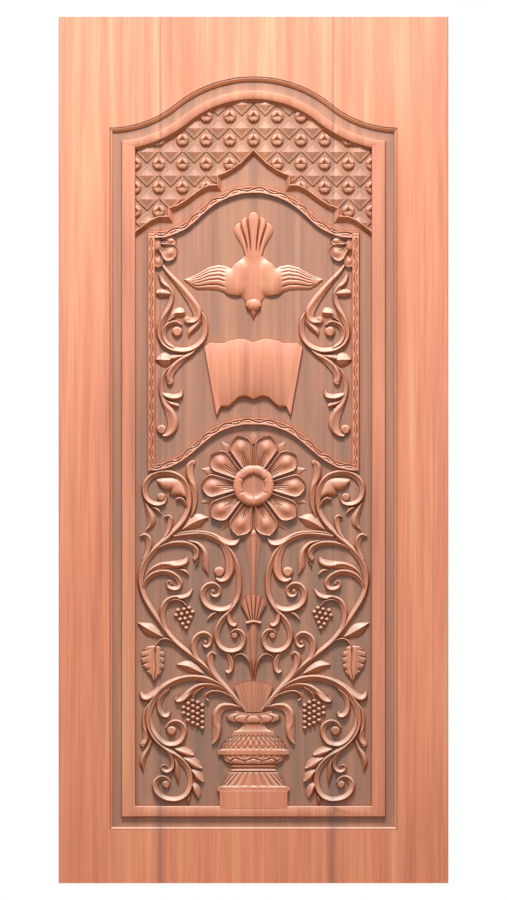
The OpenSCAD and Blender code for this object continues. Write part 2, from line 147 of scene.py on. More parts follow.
def stroke(places, height, section=DISHED, step=1.8, lean=None):
    """A section carried along a smooth run of [u, v, half-width]: the place across times the half-width goes
    along the spine's normal, and the height falls off where the stroke is narrow. The section's right
    side keeps to the outside of the bend, and changes over smoothly where the bend does, unless lean
    turns it to the right of the run (0) or to the left (1) all the way."""
    c = spline(places, step)
    d = np.gradient(c[:, :2], axis=0)
    d /= np.hypot(d[:, 0], d[:, 1])[:, None]
    turn = np.gradient(np.unwrap(np.arctan2(d[:, 1], d[:, 0])))
    span = min(11, len(turn))
    turn = np.convolve(np.pad(turn, span // 2, mode="edge"), np.ones(span) / span, "valid")[:len(c)]
    left = 0.5 + 0.5 * np.tanh(turn * 50)[:, None] if lean is None else np.full((len(c), 1), lean)
    across, share = section
    across = (1 - left) * across - left * across[::-1]
    share = (1 - left) * share + left * share[::-1]
    w = np.clip(c[:, 2:3], 0.25, None)
    return relief(c[:, :1] - d[:, 1:] * w * across, c[:, 1:2] + d[:, :1] * w * across,
                  height * (0.42 + 0.58 * (w / w.max()) ** 0.7) * share)


def dome(u, v, r, height, around=14, rings=5, flat=0.0):
    """Half of a flattened ball standing on the ground: radius r cos a and height times sin a, with the top
    pressed flat by a share."""
    a = np.linspace(0, 0.47 * np.pi, rings)[:, None]
    t = np.linspace(0, 2 * np.pi, around, endpoint=False)
    top = height * np.minimum(np.sin(a), 1 - flat)
    ring = place(u + r * np.cos(a) * np.cos(t), v + r * np.cos(a) * np.sin(t),
                 np.broadcast_to(top, (rings, around)))
    foot = place(u + r * np.cos(t), v + r * np.sin(t), -SINK)[None]
    return solid(np.concatenate([foot, ring]))


def fan(lines, t):
    """Straight lines between [t, value] pairs."""
    p = np.asarray(lines, float)
    return np.interp(t, p[:, 0], p[:, 1])


def ring_of(d):
    """Closed outline d squares in from the moulding's outer edge: a foot, two sides, and a head of a
    crown arc and two flares. At head and foot the distance in follows lines of its own."""
    head = fan([(0, 21), (3.5, 16), (11.5, 6.9), (12.9, 6), (26, -2.2), (31, -7.4)], d)
    foot = fan([(0, -21.5), (3.5, -18.6), (11.5, -9.2), (12.9, -8.2), (26, 2.3)], d)
    side = HALF_U + MOULDING_W - d
    flare, crown = FLARE_R - head, ARC_R + head
    start = 1.5 * np.pi - math.asin(min(1, max(0, (FLARE_U - side) / flare)))
    a = np.linspace(start, np.pi + MEET, 22)
    b = np.linspace(MEET, np.pi / 2, 30)[1:]
    u = np.concatenate([FLARE_U + flare * np.cos(a), crown * np.cos(b)])
    v = np.concatenate([FLARE_V + flare * np.sin(a), ARC_V + crown * np.sin(b)])
    half = np.stack([np.append(u, -u[-2::-1]), np.append(v, v[-2::-1])], 1)
    s = np.linspace(0, 1, SIDE_STEPS + 1)[:-1, None]
    corners = np.array([[-side, v[0]], [-side, foot], [side, foot], [side, v[0]]])
    runs = [corners[k] * (1 - s) + corners[k + 1] * s for k in range(3)]
    return np.concatenate([half[:-1], *runs])


# Points on a whole outline, and on its head alone.
RING = len(ring_of(0))
HEAD = RING - 3 * SIDE_STEPS


def leaf_edge(width, y):
    """Points on the leaf's rectangle, as many as in an outline, with the same four corners."""
    top = np.linspace(1, -1, HEAD + 1)[:-1]
    s = np.linspace(0, 1, SIDE_STEPS + 1)[:-1]
    ones, zeros = np.ones(SIDE_STEPS), np.zeros(SIDE_STEPS)
    x = np.concatenate([top, -ones, -1 + 2 * s, ones]) * width / 2
    z = np.concatenate([np.ones(HEAD), 1 - s, zeros, s]) * LEAF_H
    return np.stack([-x, np.full(RING, y), z], 1)


def plain_leaf():
    """The leaf with its moulding and sunk ground: rings from the back round the edges to the face, then the
    moulding's profile of [squares in from its outer edge, depth in mm] carried along the outline."""
    profile = [(0, 0), (0.15, 2.4), (0.7, 2.7), (1.1, 1.9), (2.8, 4.6), (3.2, 5.4), (3.5, 8.6), (4.4, 9.0),
               (10.8, 9.0), (11.7, 8.5), (12.5, 2.4), (12.9, 1.5), (13.6, 1.3), (24.6, 1.3), (25.5, 2.3),
               (25.8, 3.4), (MOULDING_W, GROUND_DEPTH * 1000)]
    flat_w = LEAF_W - 2 * ARRIS
    edges = [(flat_w, -FACE), (LEAF_W, -FACE - ARRIS), (LEAF_W, FACE + ARRIS), (flat_w, FACE)]
    rings = [leaf_edge(width, y) for width, y in edges]
    for d, depth in profile:
        p = ring_of(d)
        rings.append(place(p[:, 0], p[:, 1], GROUND_DEPTH * 1000 - depth))
    return solid(np.array(rings))


# Vine strokes of the left half: [u, v, half-width] of each place on the spine.
MAIN_STEM = [(13, 101, 2), (24, 114.5, 2.2), (35, 127, 2.4), (46, 139, 2.6), (58, 149.5, 2.8),
             (69, 158.5, 2.8), (79, 167.5, 2.8), (87.5, 177.5, 2.8), (95.5, 188.5, 2.8), (103, 200, 3),
             (109, 211, 3), (112.5, 222, 3), (113, 232, 3), (110, 243, 3), (104.5, 252, 3), (97, 260.5, 3),
             (88, 269, 3), (79.5, 277.5, 3), (72, 286, 3), (66.5, 295.5, 3), (64.3, 305, 3), (64.8, 315, 3),
             (68, 324.5, 3), (74.5, 331.5, 3), (83.5, 335.3, 3), (93, 335.5, 3), (102, 332, 3),
             (107.8, 325, 3), (109.3, 316.5, 3), (106.5, 309, 2.9), (100.5, 304.8, 2.7), (94, 304, 2.5),
             (89, 306.5, 2.2), (87.5, 311, 2)]
LOWER_SCROLL = [(14, 104, 2), (22, 113.5, 2.5), (32, 122, 3), (44, 128, 3), (57, 130.5, 3.2),
                (70, 129.5, 3.2), (82, 125, 3.2), (92, 118, 3.2), (99.5, 109, 3.2), (104.5, 98, 3.2),
                (105.5, 87, 3.2), (103, 77, 3), (97, 68, 3), (89, 60.5, 3), (80, 54, 3), (71.5, 47.5, 2.8),
                (65.5, 39.5, 2.8), (62.8, 30, 2.8), (63.5, 21, 3), (68, 13, 3), (75.5, 9, 3.2),
                (84, 8.8, 3.2), (92, 11.5, 3.2), (97.5, 17, 3.2), (98.8, 23.5, 3), (96, 29, 2.6),
                (91, 31, 2.3), (86.5, 29.5, 2), (84.5, 25.5, 2)]
INNER_STEM = [(80, 272, 1.5), (68, 273.5, 2.2), (55, 274, 2.6), (44, 272, 2.8), (33.5, 266.5, 2.8),
              (24.5, 258, 2.8), (18.5, 247.5, 2.8), (15, 236, 2.8), (14, 225, 2.8), (15, 213.5, 2.8),
              (19, 204.5, 2.8), (26, 195, 2.8), (32.5, 186.5, 2.8), (36.5, 177.5, 2.8), (36.8, 168.5, 2.8),
              (33, 161.5, 2.9), (27, 157.8, 3), (20, 157.3, 3), (13.5, 160, 3), (10, 166, 2.9),
              (10.3, 172.5, 2.7), (14, 177, 2.3), (19, 177.8, 1.9), (22, 175, 1.5)]
SIDE_LOOP = [(52, 496, 1.5), (48.8, 488, 2.5), (47.8, 479, 2.8), (50, 470, 2.9), (56, 463, 3),
             (64.5, 458.8, 3), (74, 458, 3), (83.5, 460.2, 3), (90.5, 465.5, 3), (94, 473, 3),
             (93.5, 481.5, 3), (90.3, 490, 2.9), (86, 498.5, 2.8), (82.3, 507, 2.7), (82, 514.5, 2.6),
             (86, 521, 2.6), (91.5, 527.5, 2.6), (94.3, 534.5, 1.2)]
STEMS = [
    MAIN_STEM, LOWER_SCROLL, INNER_STEM, SIDE_LOOP,
    # Hooks and arms round the urn's mouth.
    [(8, 98, 2.5), (19, 111, 2.6), (30, 123.5, 2.8), (39, 134.5, 3.2), (43.5, 144, 3.6), (44, 151, 3.4),
     (41.5, 155, 2.4), (37.8, 153, 1.2)],
    [(20, 113, 1.5), (32, 120, 2), (44, 123, 2.4), (55, 121.5, 3), (64, 115.5, 3.6), (71, 109, 3.6),
     (77, 108, 2.4), (75, 114.5, 0.5)],
    [(50, 121, 1), (57, 116, 1.3), (60.5, 110, 1.2)],
    [(16, 107, 1.2), (24, 112.5, 1.5), (33, 116, 1.6), (41, 116.5, 1.6), (47, 113.5, 1.5),
     (47.5, 109.5, 1.2), (44.5, 107.5, 0.6)],
    [(12, 101, 1.5), (22, 102, 2.8), (31, 101, 4), (36, 95, 4.6), (37, 86, 4.6), (36.5, 77, 4.6),
     (37.5, 69.5, 3.5), (41.5, 64, 0.5)],
    # Curls and buds of the lower scroll.
    [(84, 119, 1), (91, 113, 2), (94.5, 105, 2.5), (94, 98, 3), (90.5, 93, 3.2), (86, 92.5, 2.8),
     (84, 96.5, 1.8)],
    [(104, 92, 2), (101.5, 80, 2.5), (96, 71, 3), (89, 65, 3), (82, 63.5, 3), (75, 65.5, 3), (70.5, 71, 3),
     (69, 78, 3), (72, 84, 2.8), (78, 86.5, 2.5), (84, 84.5, 2.2), (87, 80, 1.8)],
    [(103, 106, 1), (107.5, 98, 2), (109.5, 88, 2.5), (109, 78, 2.5), (107.5, 70, 2.8), (110, 64.5, 3.2)],
    [(89, 59, 1), (83, 52, 2), (80.5, 44.5, 2.2), (82.5, 38.5, 2.2), (87, 36.5, 2), (91, 38.5, 1.8),
     (91.5, 41.5, 1.5), (89, 43, 1.2), (87, 41.5, 1)],
    # Branches of the main stem.
    [(83, 172, 1.5), (88.5, 181, 2.4), (91.3, 191, 2.8), (90.5, 200, 3), (86.5, 207, 3), (79.5, 210.5, 2.6),
     (71.5, 211, 2.6), (65, 213.5, 2.6), (61, 219.5, 0.6)],
    [(86, 205.5, 1), (79.5, 208.3, 1.3), (72.5, 207, 1.3), (67.5, 202.5, 1)],
    [(50, 143.5, 1.5), (56.5, 150, 2.6), (59.8, 158, 3.2), (59.5, 166.5, 3.2), (55, 172.8, 3),
     (48.5, 174.5, 2.8), (43.5, 171, 2.4), (43, 165.5, 2.2), (46.5, 161.5, 2), (50, 163, 1.6),
     (49.8, 166, 1.2)],
    [(80, 166.5, 1), (87, 169, 1.3), (93, 168, 1.3), (97, 163, 1.3), (98.5, 158, 1.2)],
    [(99, 258, 1.2), (90, 262.5, 2), (79, 265, 2.4), (68, 264.7, 2.6), (60, 261.2, 2.8), (56.5, 255.5, 2.8),
     (57.3, 250, 2.6)],
    [(109, 229, 1), (103, 237.5, 2.2), (93, 242.5, 3.2), (82, 243.5, 3.8), (73, 244.5, 4.2),
     (67.5, 247, 3.4), (66, 251.5, 0.8)],
    [(110.5, 220, 1.5), (107.5, 227.5, 2.4), (101, 233.5, 2.8), (92, 236.3, 2.8), (83, 235, 2.8),
     (76, 230, 2.8), (73.3, 224, 2.8), (76, 219.8, 2.6), (81.5, 219.5, 2.4), (85.8, 222.3, 2),
     (85.3, 226.5, 1.6), (82, 226.5, 1.2)],
    [(110.5, 248.5, 1), (106, 256, 2.4), (104.2, 263.5, 3), (105.5, 270, 3), (109, 273, 2.4),
     (113.3, 271.5, 1.2)],
    [(90, 270, 1), (85.5, 277, 2.4), (83.2, 284.5, 2.8), (83.3, 290, 2.6), (86, 292.3, 1.8),
     (88.8, 291, 0.9)],
    [(66, 298, 0.8), (68.8, 305.5, 1.6), (73, 309.5, 2), (77.5, 308.5, 1.5)],
    [(62, 292, 1), (58.7, 303, 2.4), (58.6, 315, 3), (61.5, 325.5, 3.6), (64.3, 335, 3.8), (63.8, 342, 3.8),
     (60.8, 346, 2.6)],
    # Branches of the inner stem.
    [(31, 160, 1.2), (25.5, 153.5, 2), (22.3, 146, 2.6), (22.2, 139.5, 2.8), (25, 136, 2.4), (28, 137.5, 1)],
    [(1, 130, 0.8), (2.8, 141, 1.2), (6, 149, 1.4), (11.5, 153.6, 1.4), (16.5, 153, 1.3), (19.5, 150, 0.8)],
    [(20.5, 206, 1), (24, 198.5, 2), (25, 191, 2.5), (23, 185, 2.8), (19, 183, 2.4), (17, 185, 1)],
    [(17, 210, 1.5), (21, 203, 2.5), (29, 198.8, 3.2), (38, 199, 3.4), (46.5, 203, 3.4), (51, 210, 3.2),
     (50.5, 217.5, 3), (46, 223, 2.8), (39.5, 223.8, 2.6), (34.5, 220, 2.2), (34, 215, 2), (37.5, 212, 1.8),
     (41.8, 213.2, 1.5), (43, 216.5, 1.2)],
    [(38, 270, 1.2), (30, 262, 2.5), (25, 252.5, 3.8), (23.3, 243, 4.4), (23.8, 235.5, 4.4),
     (27.5, 229.5, 3.8), (33, 228, 3), (37.5, 230.5, 2)],
    [(80, 273.5, 0.8), (66, 276, 1.4), (52, 275.8, 2), (41, 273, 2.6), (32, 268, 3.2), (24.5, 264.8, 3.8),
     (18, 265.3, 3), (13.8, 270.5, 0.6)],
    # Side vine beside the dove and the book.
    [(92.5, 545, 1.2), (87, 537.5, 2), (79, 528.5, 2.8), (70, 518, 3.6), (61.5, 506.5, 4.4),
     (56.5, 497.5, 4.8), (56, 491, 4.2), (60, 487.5, 3.6), (66, 487.5, 3.6)],
    [(83, 514.6, 2.5), (88, 515, 3.9), (93.4, 515.3, 4.3), (97.2, 515.4, 2.6)],
    [(79, 460.5, 1.2), (86, 465, 2.2), (90, 472, 2.4), (89, 479.5, 2.4), (84, 484.5, 2.3), (77.5, 486, 2.1),
     (72, 483, 1.6)],
    [(53, 467, 1), (58, 459.5, 2), (65, 453.5, 2.8), (73, 447.5, 3.4), (80, 440.5, 3.8), (84, 433, 3.8),
     (84, 427.5, 3.6)],
    [(82, 443, 1), (88.5, 435.5, 1.8), (92, 427, 2.2), (92.7, 418, 2.6), (90.5, 409, 3), (86.5, 401, 4),
     (82.5, 393.5, 5), (80.3, 385.5, 5.6), (81.8, 378.5, 5), (86.5, 373.8, 3.6), (91, 373.2, 2)],
    [(91, 414.5, 1.2), (86, 412.5, 3), (79.5, 411.3, 3.3), (73, 413, 3), (71.5, 419, 0.8)],
]
LEAVES = [
    [(102, 68, 1.5), (105, 60, 2.5), (109.5, 52, 3.2), (111.5, 44, 2.8), (110, 37.5, 0.6)],
    [(80, 53, 0.8), (77.5, 44, 2.8), (76.5, 34, 3), (74.8, 23.5, 0.4)],
    [(63, 14, 0.8), (65, 8, 2), (65.5, 2.5, 0.4)],
    [(91, 171.5, 1), (98, 175, 5), (106, 179.5, 6.3), (115.8, 185.5, 0.4)],
    [(50, 134.5, 1), (58, 138.5, 5), (67, 142.5, 5.4), (77, 143.8, 0.4)],
    [(34, 196.5, 0.8), (40, 194.5, 2.8), (46.5, 188.3, 0.4)],
    [(66, 267.5, 0.8), (56, 264.5, 2), (50, 257, 3.2), (48.3, 248, 4), (47.8, 240, 3.4), (44.7, 233, 0.4)],
    [(55, 248, 1), (58.5, 242.3, 0.4)],
    [(75, 238.5, 0.8), (69.5, 237.5, 2), (64.5, 233.3, 0.4)],
    [(71, 279, 1), (62, 284.5, 5.5), (54, 288.5, 6.5), (45, 291, 0.4)],
    [(109.5, 308, 1), (105.5, 299, 3.2), (102, 290, 4.4), (103, 283, 3.6), (107.7, 278, 0.4)],
    [(103, 302, 0.6), (97, 299, 2.4), (92.3, 294.3, 0.4)],
    [(53.5, 494, 2), (55, 486, 3.5), (59.5, 480.5, 4), (63.5, 476, 2.8), (65, 470.8, 0.4)],
    [(83.5, 491, 0.8), (78.5, 495, 4), (73, 495.8, 5.4), (69.8, 496, 3.6), (68.6, 496, 0.8)],
    [(85, 487.5, 0.8), (80.5, 491.5, 2.2), (77.4, 493.4, 0.6)],
    [(83, 448.6, 5), (86, 448.6, 7.2), (90, 448.6, 7.2), (94.6, 448.7, 4.8), (98.2, 449, 0.4)],
    [(64, 453.5, 0.6), (73, 452, 2.6), (81, 450.4, 4), (84.4, 449.6, 2.4)],
    [(88, 407.5, 1), (82.5, 404.8, 2.6), (77, 403, 2.8), (74.8, 402, 1.4)],
]
# Overlapping buds below the lower scroll and the long leaf above it, with the side each ridge leans to.
BUDS = [
    ([(80, 60.5, 1), (74, 58.5, 3.6), (67, 56.2, 4.6), (61.5, 54, 2.8), (59.6, 53.4, 0.8)], 0),
    ([(70, 50.5, 1), (64, 48, 4.2), (58, 44.2, 5.2), (53.5, 41, 3), (51.4, 40.2, 0.8)], 0),
    ([(62, 38.5, 1), (58, 35.5, 4), (54.2, 31, 4.8), (51.2, 27.8, 2.8), (49.6, 26.8, 0.8)], 0),
    ([(61.5, 25, 1.5), (58, 20.5, 4.2), (56, 14.5, 3.6), (54.6, 9.8, 0.6)], 0),
    ([(58, 131.5, 1.5), (75, 129.5, 2.2), (88, 123.5, 3), (98, 115.5, 3.8), (106, 110.5, 4.2),
      (111, 111.5, 3.4), (113, 117, 0.6)], 1),
]
# Eyes and buds of the scrolls: [u, v, radius].
EYES = [(92.3, 311, 4.3), (87.5, 23.5, 4.3), (82, 77.3, 5.2), (19, 172.5, 3.6), (34.3, 236, 5.6),
        (76.5, 476.5, 5.6), (92, 378.5, 5.2), (88.7, 40, 1.6), (48, 166, 1.8), (40.5, 217, 2.2),
        (82.5, 225, 2), (110.5, 63.5, 3.3), (58, 249.5, 2.8), (60.8, 345.5, 2.8), (66, 488, 4),
        (83.7, 426.3, 3.8)]
UPPER_GRAPES = [(64.5, 200), (69.6, 198.8), (75.5, 197.7), (61, 196), (66.5, 195), (72, 193.8),
                (77.4, 192.7), (63, 190.7), (68.5, 189.3), (73.3, 188.6), (65.4, 185.4), (70.8, 184),
                (67.4, 180.2)]
# The lower bunch hangs in columns: the top of each, and how many grapes it has.
GRAPE_COLUMNS = [(102.5, 5), (105.5, 5), (107.5, 5), (104.5, 4), (100.5, 2)]
LOWER_GRAPES = [(51.3 + 4.7 * k, top - 5.6 * j) for k, (top, count) in enumerate(GRAPE_COLUMNS)
                for j in range(count)]


def veined_leaf():
    """Broad leaf with a saw edge: rows across from the left to the right outline, sunk along the midrib and
    along slanting side veins."""
    t, s = np.linspace(0, 1, 53)[:, None], np.linspace(-1, 1, 19)
    v = 161 - 35.5 * t
    rib = fan([(0, 98), (0.3, 98.6), (0.6, 97.6), (1, 100)], t)
    left = fan([(0, 1.5), (0.02, 8), (0.14, 13.3), (0.3, 14.6), (0.56, 13.3), (0.73, 8.5), (0.96, 1),
                (1, 0.3)], t)
    right = fan([(0, 1.5), (0.06, 5.5), (0.25, 10), (0.59, 8.3), (0.82, 5.8), (0.97, 1.5), (1, 0.3)], t)
    saw = 1 - 0.13 * ((t * 5.5) % 1)
    u = rib + np.where(s > 0, left, right) * s * saw
    vein = np.abs(((t * 5.5 - 0.9 * np.abs(s)) % 1) - 0.5)
    cut = np.exp(-(((0.5 - vein) / 0.09) ** 2)) * np.clip((np.abs(s) - 0.42) * 3, 0, 1)
    h = 9.5 - 3.6 * s**2 - 3.6 * np.exp(-((s / 0.09) ** 2)) - 3.2 * cut
    return relief(u, np.broadcast_to(v, u.shape) + 1.8 * np.abs(s), np.broadcast_to(h, u.shape))


def broad_leaf():
    """Leaf with two lobes inside the upper scroll: rows from its base to its tip, straight between the
    places on its lower and upper edges, and rounded across as a power of a sine."""
    edges = [(66.5, 308.5, 66.3, 309), (69.5, 311, 67.2, 314), (74, 313, 68.5, 319), (80, 312.2, 70.5, 324),
             (84.6, 313.6, 73, 327), (82, 316.8, 76, 329), (80.6, 318, 78.5, 329.8), (84, 317.6, 82, 330.3),
             (88.5, 318, 87, 330.3), (92, 320.2, 91.5, 330), (95, 323.6, 95, 329.6), (96.4, 326, 96.6, 329)]
    places = [0, 0.15, 0.3, 0.42, 0.5, 0.56, 0.6, 0.66, 0.76, 0.86, 0.94, 1]
    t, s = np.linspace(0, 1, 51), np.linspace(0, 1, 13)
    low_u, low_v, top_u, top_v = [np.interp(t, places, column)[:, None] for column in np.array(edges).T]
    h = (3.2 + 6.6 * np.sin(np.pi * s) ** 0.7) * fan([(0, 0.5), (0.2, 1), (0.88, 1), (1, 0.6)], t)[:, None]
    return relief(low_u + (top_u - low_u) * s, low_v + (top_v - low_v) * s, h)


# Shares of a petal's half-width along its length, for one with a point and one with a round end.
POINTED = [(0, 0.39), (0.12, 0.5), (0.35, 0.71), (0.55, 0.9), (0.67, 1), (0.76, 0.97), (0.83, 0.85),
           (0.89, 0.66), (0.935, 0.45), (0.97, 0.22), (1, 0.02)]
BLUNT = [(0, 0.4), (0.2, 0.62), (0.4, 0.88), (0.56, 1), (0.7, 0.98), (0.82, 0.84), (0.91, 0.62),
         (0.97, 0.36), (1, 0.03)]


def petal(u0, v0, angle, near, far, half, height, rows=18, shape=POINTED, full=0.56):
    """Dished petal from radius near to far: half-width by the shape's shares, a thin rim round the edge, a
    ball that swells near the end, and five grooves that open from the base."""
    t = np.sin(np.linspace(0, np.pi / 2, rows))[:, None]
    rim = np.array([1, 0.97, 0.925, 0.86])
    s = np.concatenate([-rim, np.linspace(-0.78, 0.78, 21), rim[::-1]])
    along, over = near + (far - near) * t + 0 * s, half * fan(shape, t) * s
    edge = np.maximum(np.abs(s), fan([(0, 0), (0.93, 0), (1, 0.94)], t))
    share = fan([(0, 0.44), (0.6, 0.46), (0.8, 0.58), (0.9, 0.94), (0.94, 1), (0.975, 0.92), (1, 0.3)], edge)
    ball = full * np.exp(-(((t - 0.64) / 0.17) ** 2) - (s / 0.42) ** 2)
    grooves = sum(np.exp(-(((s - 0.26 * k) / 0.055) ** 2)) * np.clip((0.58 - 0.1 * abs(k) - t) * 6, 0, 1)
                  for k in range(-2, 3))
    c, d = math.cos(angle), math.sin(angle)
    return relief(u0 + along * c - over * d, v0 + along * d + over * c,
                  height * (share + ball - 0.24 * grooves))


# Large flower: its middle, its petals, and the notches round its button.
FLOWER_V, PETALS, NOTCHES = 322.5, 10, 6


def flower():
    """Ten petals and ten pointed sepals by turns round a ringed button: rings of [radius, height] from
    the rim to the middle, with six cuts across the inner edge and fine ticks round the outer one."""
    shells = []
    for k in range(PETALS):
        a = math.radians(90 + 360 / PETALS * (k + 0.5))
        shells.append(petal(0, FLOWER_V, a, 18, 52.3, 11.7, 11.5))
        b = math.radians(90 + 360 / PETALS * k)
        tips = [(42, 4.4), (47, 4.4), (50.5, 2.6), (54.5, 0.4)]
        sepal = [(r * math.cos(b), FLOWER_V + r * math.sin(b), w) for r, w in tips]
        shells.append(stroke(sepal, 3.2, RIDGED))
    r, h = np.array([(20.9, -SINK), (20.8, 6), (20.3, 8.6), (19.4, 10.4), (18, 11.9), (16.4, 12.8),
                     (14.6, 13), (13.2, 12.4), (12.2, 11.2), (11.4, 9.2), (11, 7), (10.6, 6.4), (6, 6.2),
                     (2, 6.2)]).T[:, :, None]
    t = np.linspace(0, 2 * np.pi, 144, endpoint=False)
    notch = np.exp(-((((t * NOTCHES / (2 * np.pi)) % 1 - 0.5) / 0.045) ** 2))
    cut = 2.6 * notch * fan([(10.8, 0), (11.2, 1), (13.5, 1), (17, 0)], r)
    ticks = 0.5 * np.cos(t * 48) * fan([(16.4, 0), (18, 1), (19.4, 1), (20.3, 0)], r)
    shells.append(solid(place(r * np.cos(t), FLOWER_V + r * np.sin(t), h - cut + ticks)))
    shells.append(dome(0, 274, 5, 7.5))
    return shells


# Lattice: the diagonal of a diamond, the top row of whole bosses, the half-width and the lower edge.
PITCH, LATTICE_V, LATTICE_U = 23.7, 692, 119
LATTICE_EDGE = [(0, 657.5), (12, 646), (24, 638), (34, 633.6), (36.4, 623.6), (44, 623), (52, 620),
                (68, 608), (83, 600.6), (85.4, 592.2), (96, 591.2), (104, 587.4), (112, 581), (121, 574.5)]


def lattice():
    """Diamonds by turns with a pyramid and a four-lobed boss on a plate. A pyramid tile is rings of
    [half-diagonal, height], a boss is rings of [radius, height] with a cross cut over it and a four-sided
    pit in the middle. Tiles on the lattice's edge are pressed in to the line of the cusped edge or of the
    crown."""
    outline = ring_of(MOULDING_W)[HEAD // 2::-1]

    def lower(u):
        """Lower edge of the lattice, the same either side of the axis."""
        return fan(LATTICE_EDGE, np.abs(u))

    def upper(u):
        """Upper edge: the head of the field, and one square more to go under the slope."""
        return fan(outline, np.abs(u)) + 1

    def tile(u, v, h):
        """Closed tile over rings, with each point moved to the lattice's edge if it lies past it."""
        return solid(place(np.clip(u, -LATTICE_U, LATTICE_U), np.clip(v, lower(u), upper(u)), h))

    u = np.linspace(-LATTICE_U, LATTICE_U, 120)[:, None]
    s = np.array([0, 0.5, 1])
    shells = [relief(u + 0 * s, lower(u) * (1 - s) + upper(u) * s, np.full((len(u), len(s)), 2.2))]
    # Places round a diamond, close together at its corners so that they stay crisp.
    k = np.add.outer(np.arange(4), [0.004, 0.04, 0.5, 0.96, 0.996]).ravel()
    i = fan([(0, 1), (1, 0), (2, -1), (3, 0), (4, 1)], k)
    j = fan([(0, 0), (1, 1), (2, 0), (3, -1), (4, 0)], k)
    size, tall = np.array([(12, -SINK), (11.9, 2), (10.6, 5.1), (7.3, 5.3), (6.9, 5.5), (0.6, 10.2),
                           (0.2, 10.4)]).T[:, :, None]
    # Angles round a boss, drawn together at the cross, where the lobes are low.
    a = np.radians(np.add.outer(np.arange(0, 360, 90), [0, 6, 18, 45, 72, 84]).ravel())
    lobes = np.where(np.arange(len(a)) % 6 == 0, 0.52, 1)
    r, high = np.array([(6.6, -SINK), (6.55, 2), (6.4, 4.2), (5.9, 6.2), (5, 7.9), (4.1, 8.7)]).T[:, :, None]
    pit, deep = np.array([(3.5, 8.3), (2.7, 5.6), (0.4, 3.2)]).T[:, :, None]
    r = np.concatenate([r + 0 * a, pit / (np.abs(np.cos(a)) + np.abs(np.sin(a)))])
    high = np.concatenate([np.where(high > 2, 2 + (high - 2) * lobes, high),
                           2 + (deep - 2) * np.where(deep > 8, lobes, 1)])
    for row in range(-10, 3):
        for column in range(-10, 11):
            u, v = column * PITCH / 2, LATTICE_V + row * PITCH / 2
            if abs(u) > LATTICE_U + 6 or not lower(u) - 9 < v < upper(u) + 9:
                continue
            if row % 2 == 0 and column % 2 == 0:
                shells.append(tile(u + r * np.cos(a), v + r * np.sin(a), high))
            elif row % 2 and column % 2:
                shells.append(tile(u + size * i, v + size * j, tall + 0 * i))
    return shells


def crown_slope():
    """Slope under the head of the moulding, from its band's edge down to the lattice."""
    outer, inner = ring_of(MOULDING_W - 0.4)[:HEAD + 1, None], ring_of(MOULDING_W + 4)[:HEAD + 1, None]
    grid = outer + (inner - outer) * np.array([0, 0.06, 0.9, 1])[:, None]
    return relief(grid[..., 0], grid[..., 1], np.broadcast_to([13.7, 12.8, 3, 2.4], grid.shape[:2]))


def cusped_edge():
    """Band under the lattice: an arris along its upper side, and a slope down to its lower edge. The upper
    and lower edges are runs of places, and the band is straight between them."""
    top = [(0, 659.5), (5, 654), (12, 647), (22, 640), (30, 636), (36.5, 633.5), (36.5, 624.5), (45, 624),
           (52, 621), (60, 615), (68, 609), (76, 604), (85.5, 601), (85.5, 593), (95, 592.5), (103, 589),
           (110, 584), (119.5, 577)]
    low = [(0, 652), (6, 647), (14, 639.5), (24, 633), (29, 630.5), (32.5, 629), (32.5, 616.5), (42, 618),
           (49, 615.5), (57, 610), (65, 604), (73, 599), (80.5, 595.5), (80.5, 585), (92, 586.5),
           (100, 584.5), (108, 579), (119.5, 569.5)]
    top, low = np.array(top, float)[:, None], np.array(low, float)[:, None]
    s = np.array([0, 0.05, 0.45, 0.78, 0.86, 0.95, 1])[:, None]
    grid = low + (top - low) * s
    rise = np.array([0.4, 1.2, 6.4, 11.2, 12, 11.6, 4])
    return relief(grid[..., 0], grid[..., 1], np.broadcast_to(rise, grid.shape[:2]))


def rope(line):
    """Border band with cut lines: a flat plate, less a groove that swings from side to side as a sine about
    every 24 squares, less a short groove parallel to it in each pocket that it leaves."""
    c = spline(line, 1.8)
    d = np.gradient(c, axis=0)
    d /= np.hypot(d[:, 0], d[:, 1])[:, None]
    run = np.concatenate([[0], np.cumsum(np.hypot(*np.diff(c, axis=0).T))])[:, None]
    swing = np.sin(2 * np.pi * round(run[-1, 0] / 24) * run / run[-1, 0])
    x = np.concatenate([[-3.3], np.linspace(-3.1, 3.1, 16), [3.3]])
    long_cut = np.exp(-(((x - 1.55 * swing) / 0.58) ** 2))
    pocket = np.clip((np.abs(swing) - 0.45) * 5, 0, 1)
    short_cut = np.exp(-(((x - 1.55 * swing + 2.3 * np.sign(swing)) / 0.5) ** 2)) * pocket
    h = fan([(-3.3, 9.2), (-3.1, 10.4), (3.1, 10.4), (3.3, 9.2)], x) - 3.3 * long_cut - 2.8 * short_cut
    return relief(c[:, :1] - d[:, 1:] * x, c[:, 1:] + d[:, :1] * x, h)


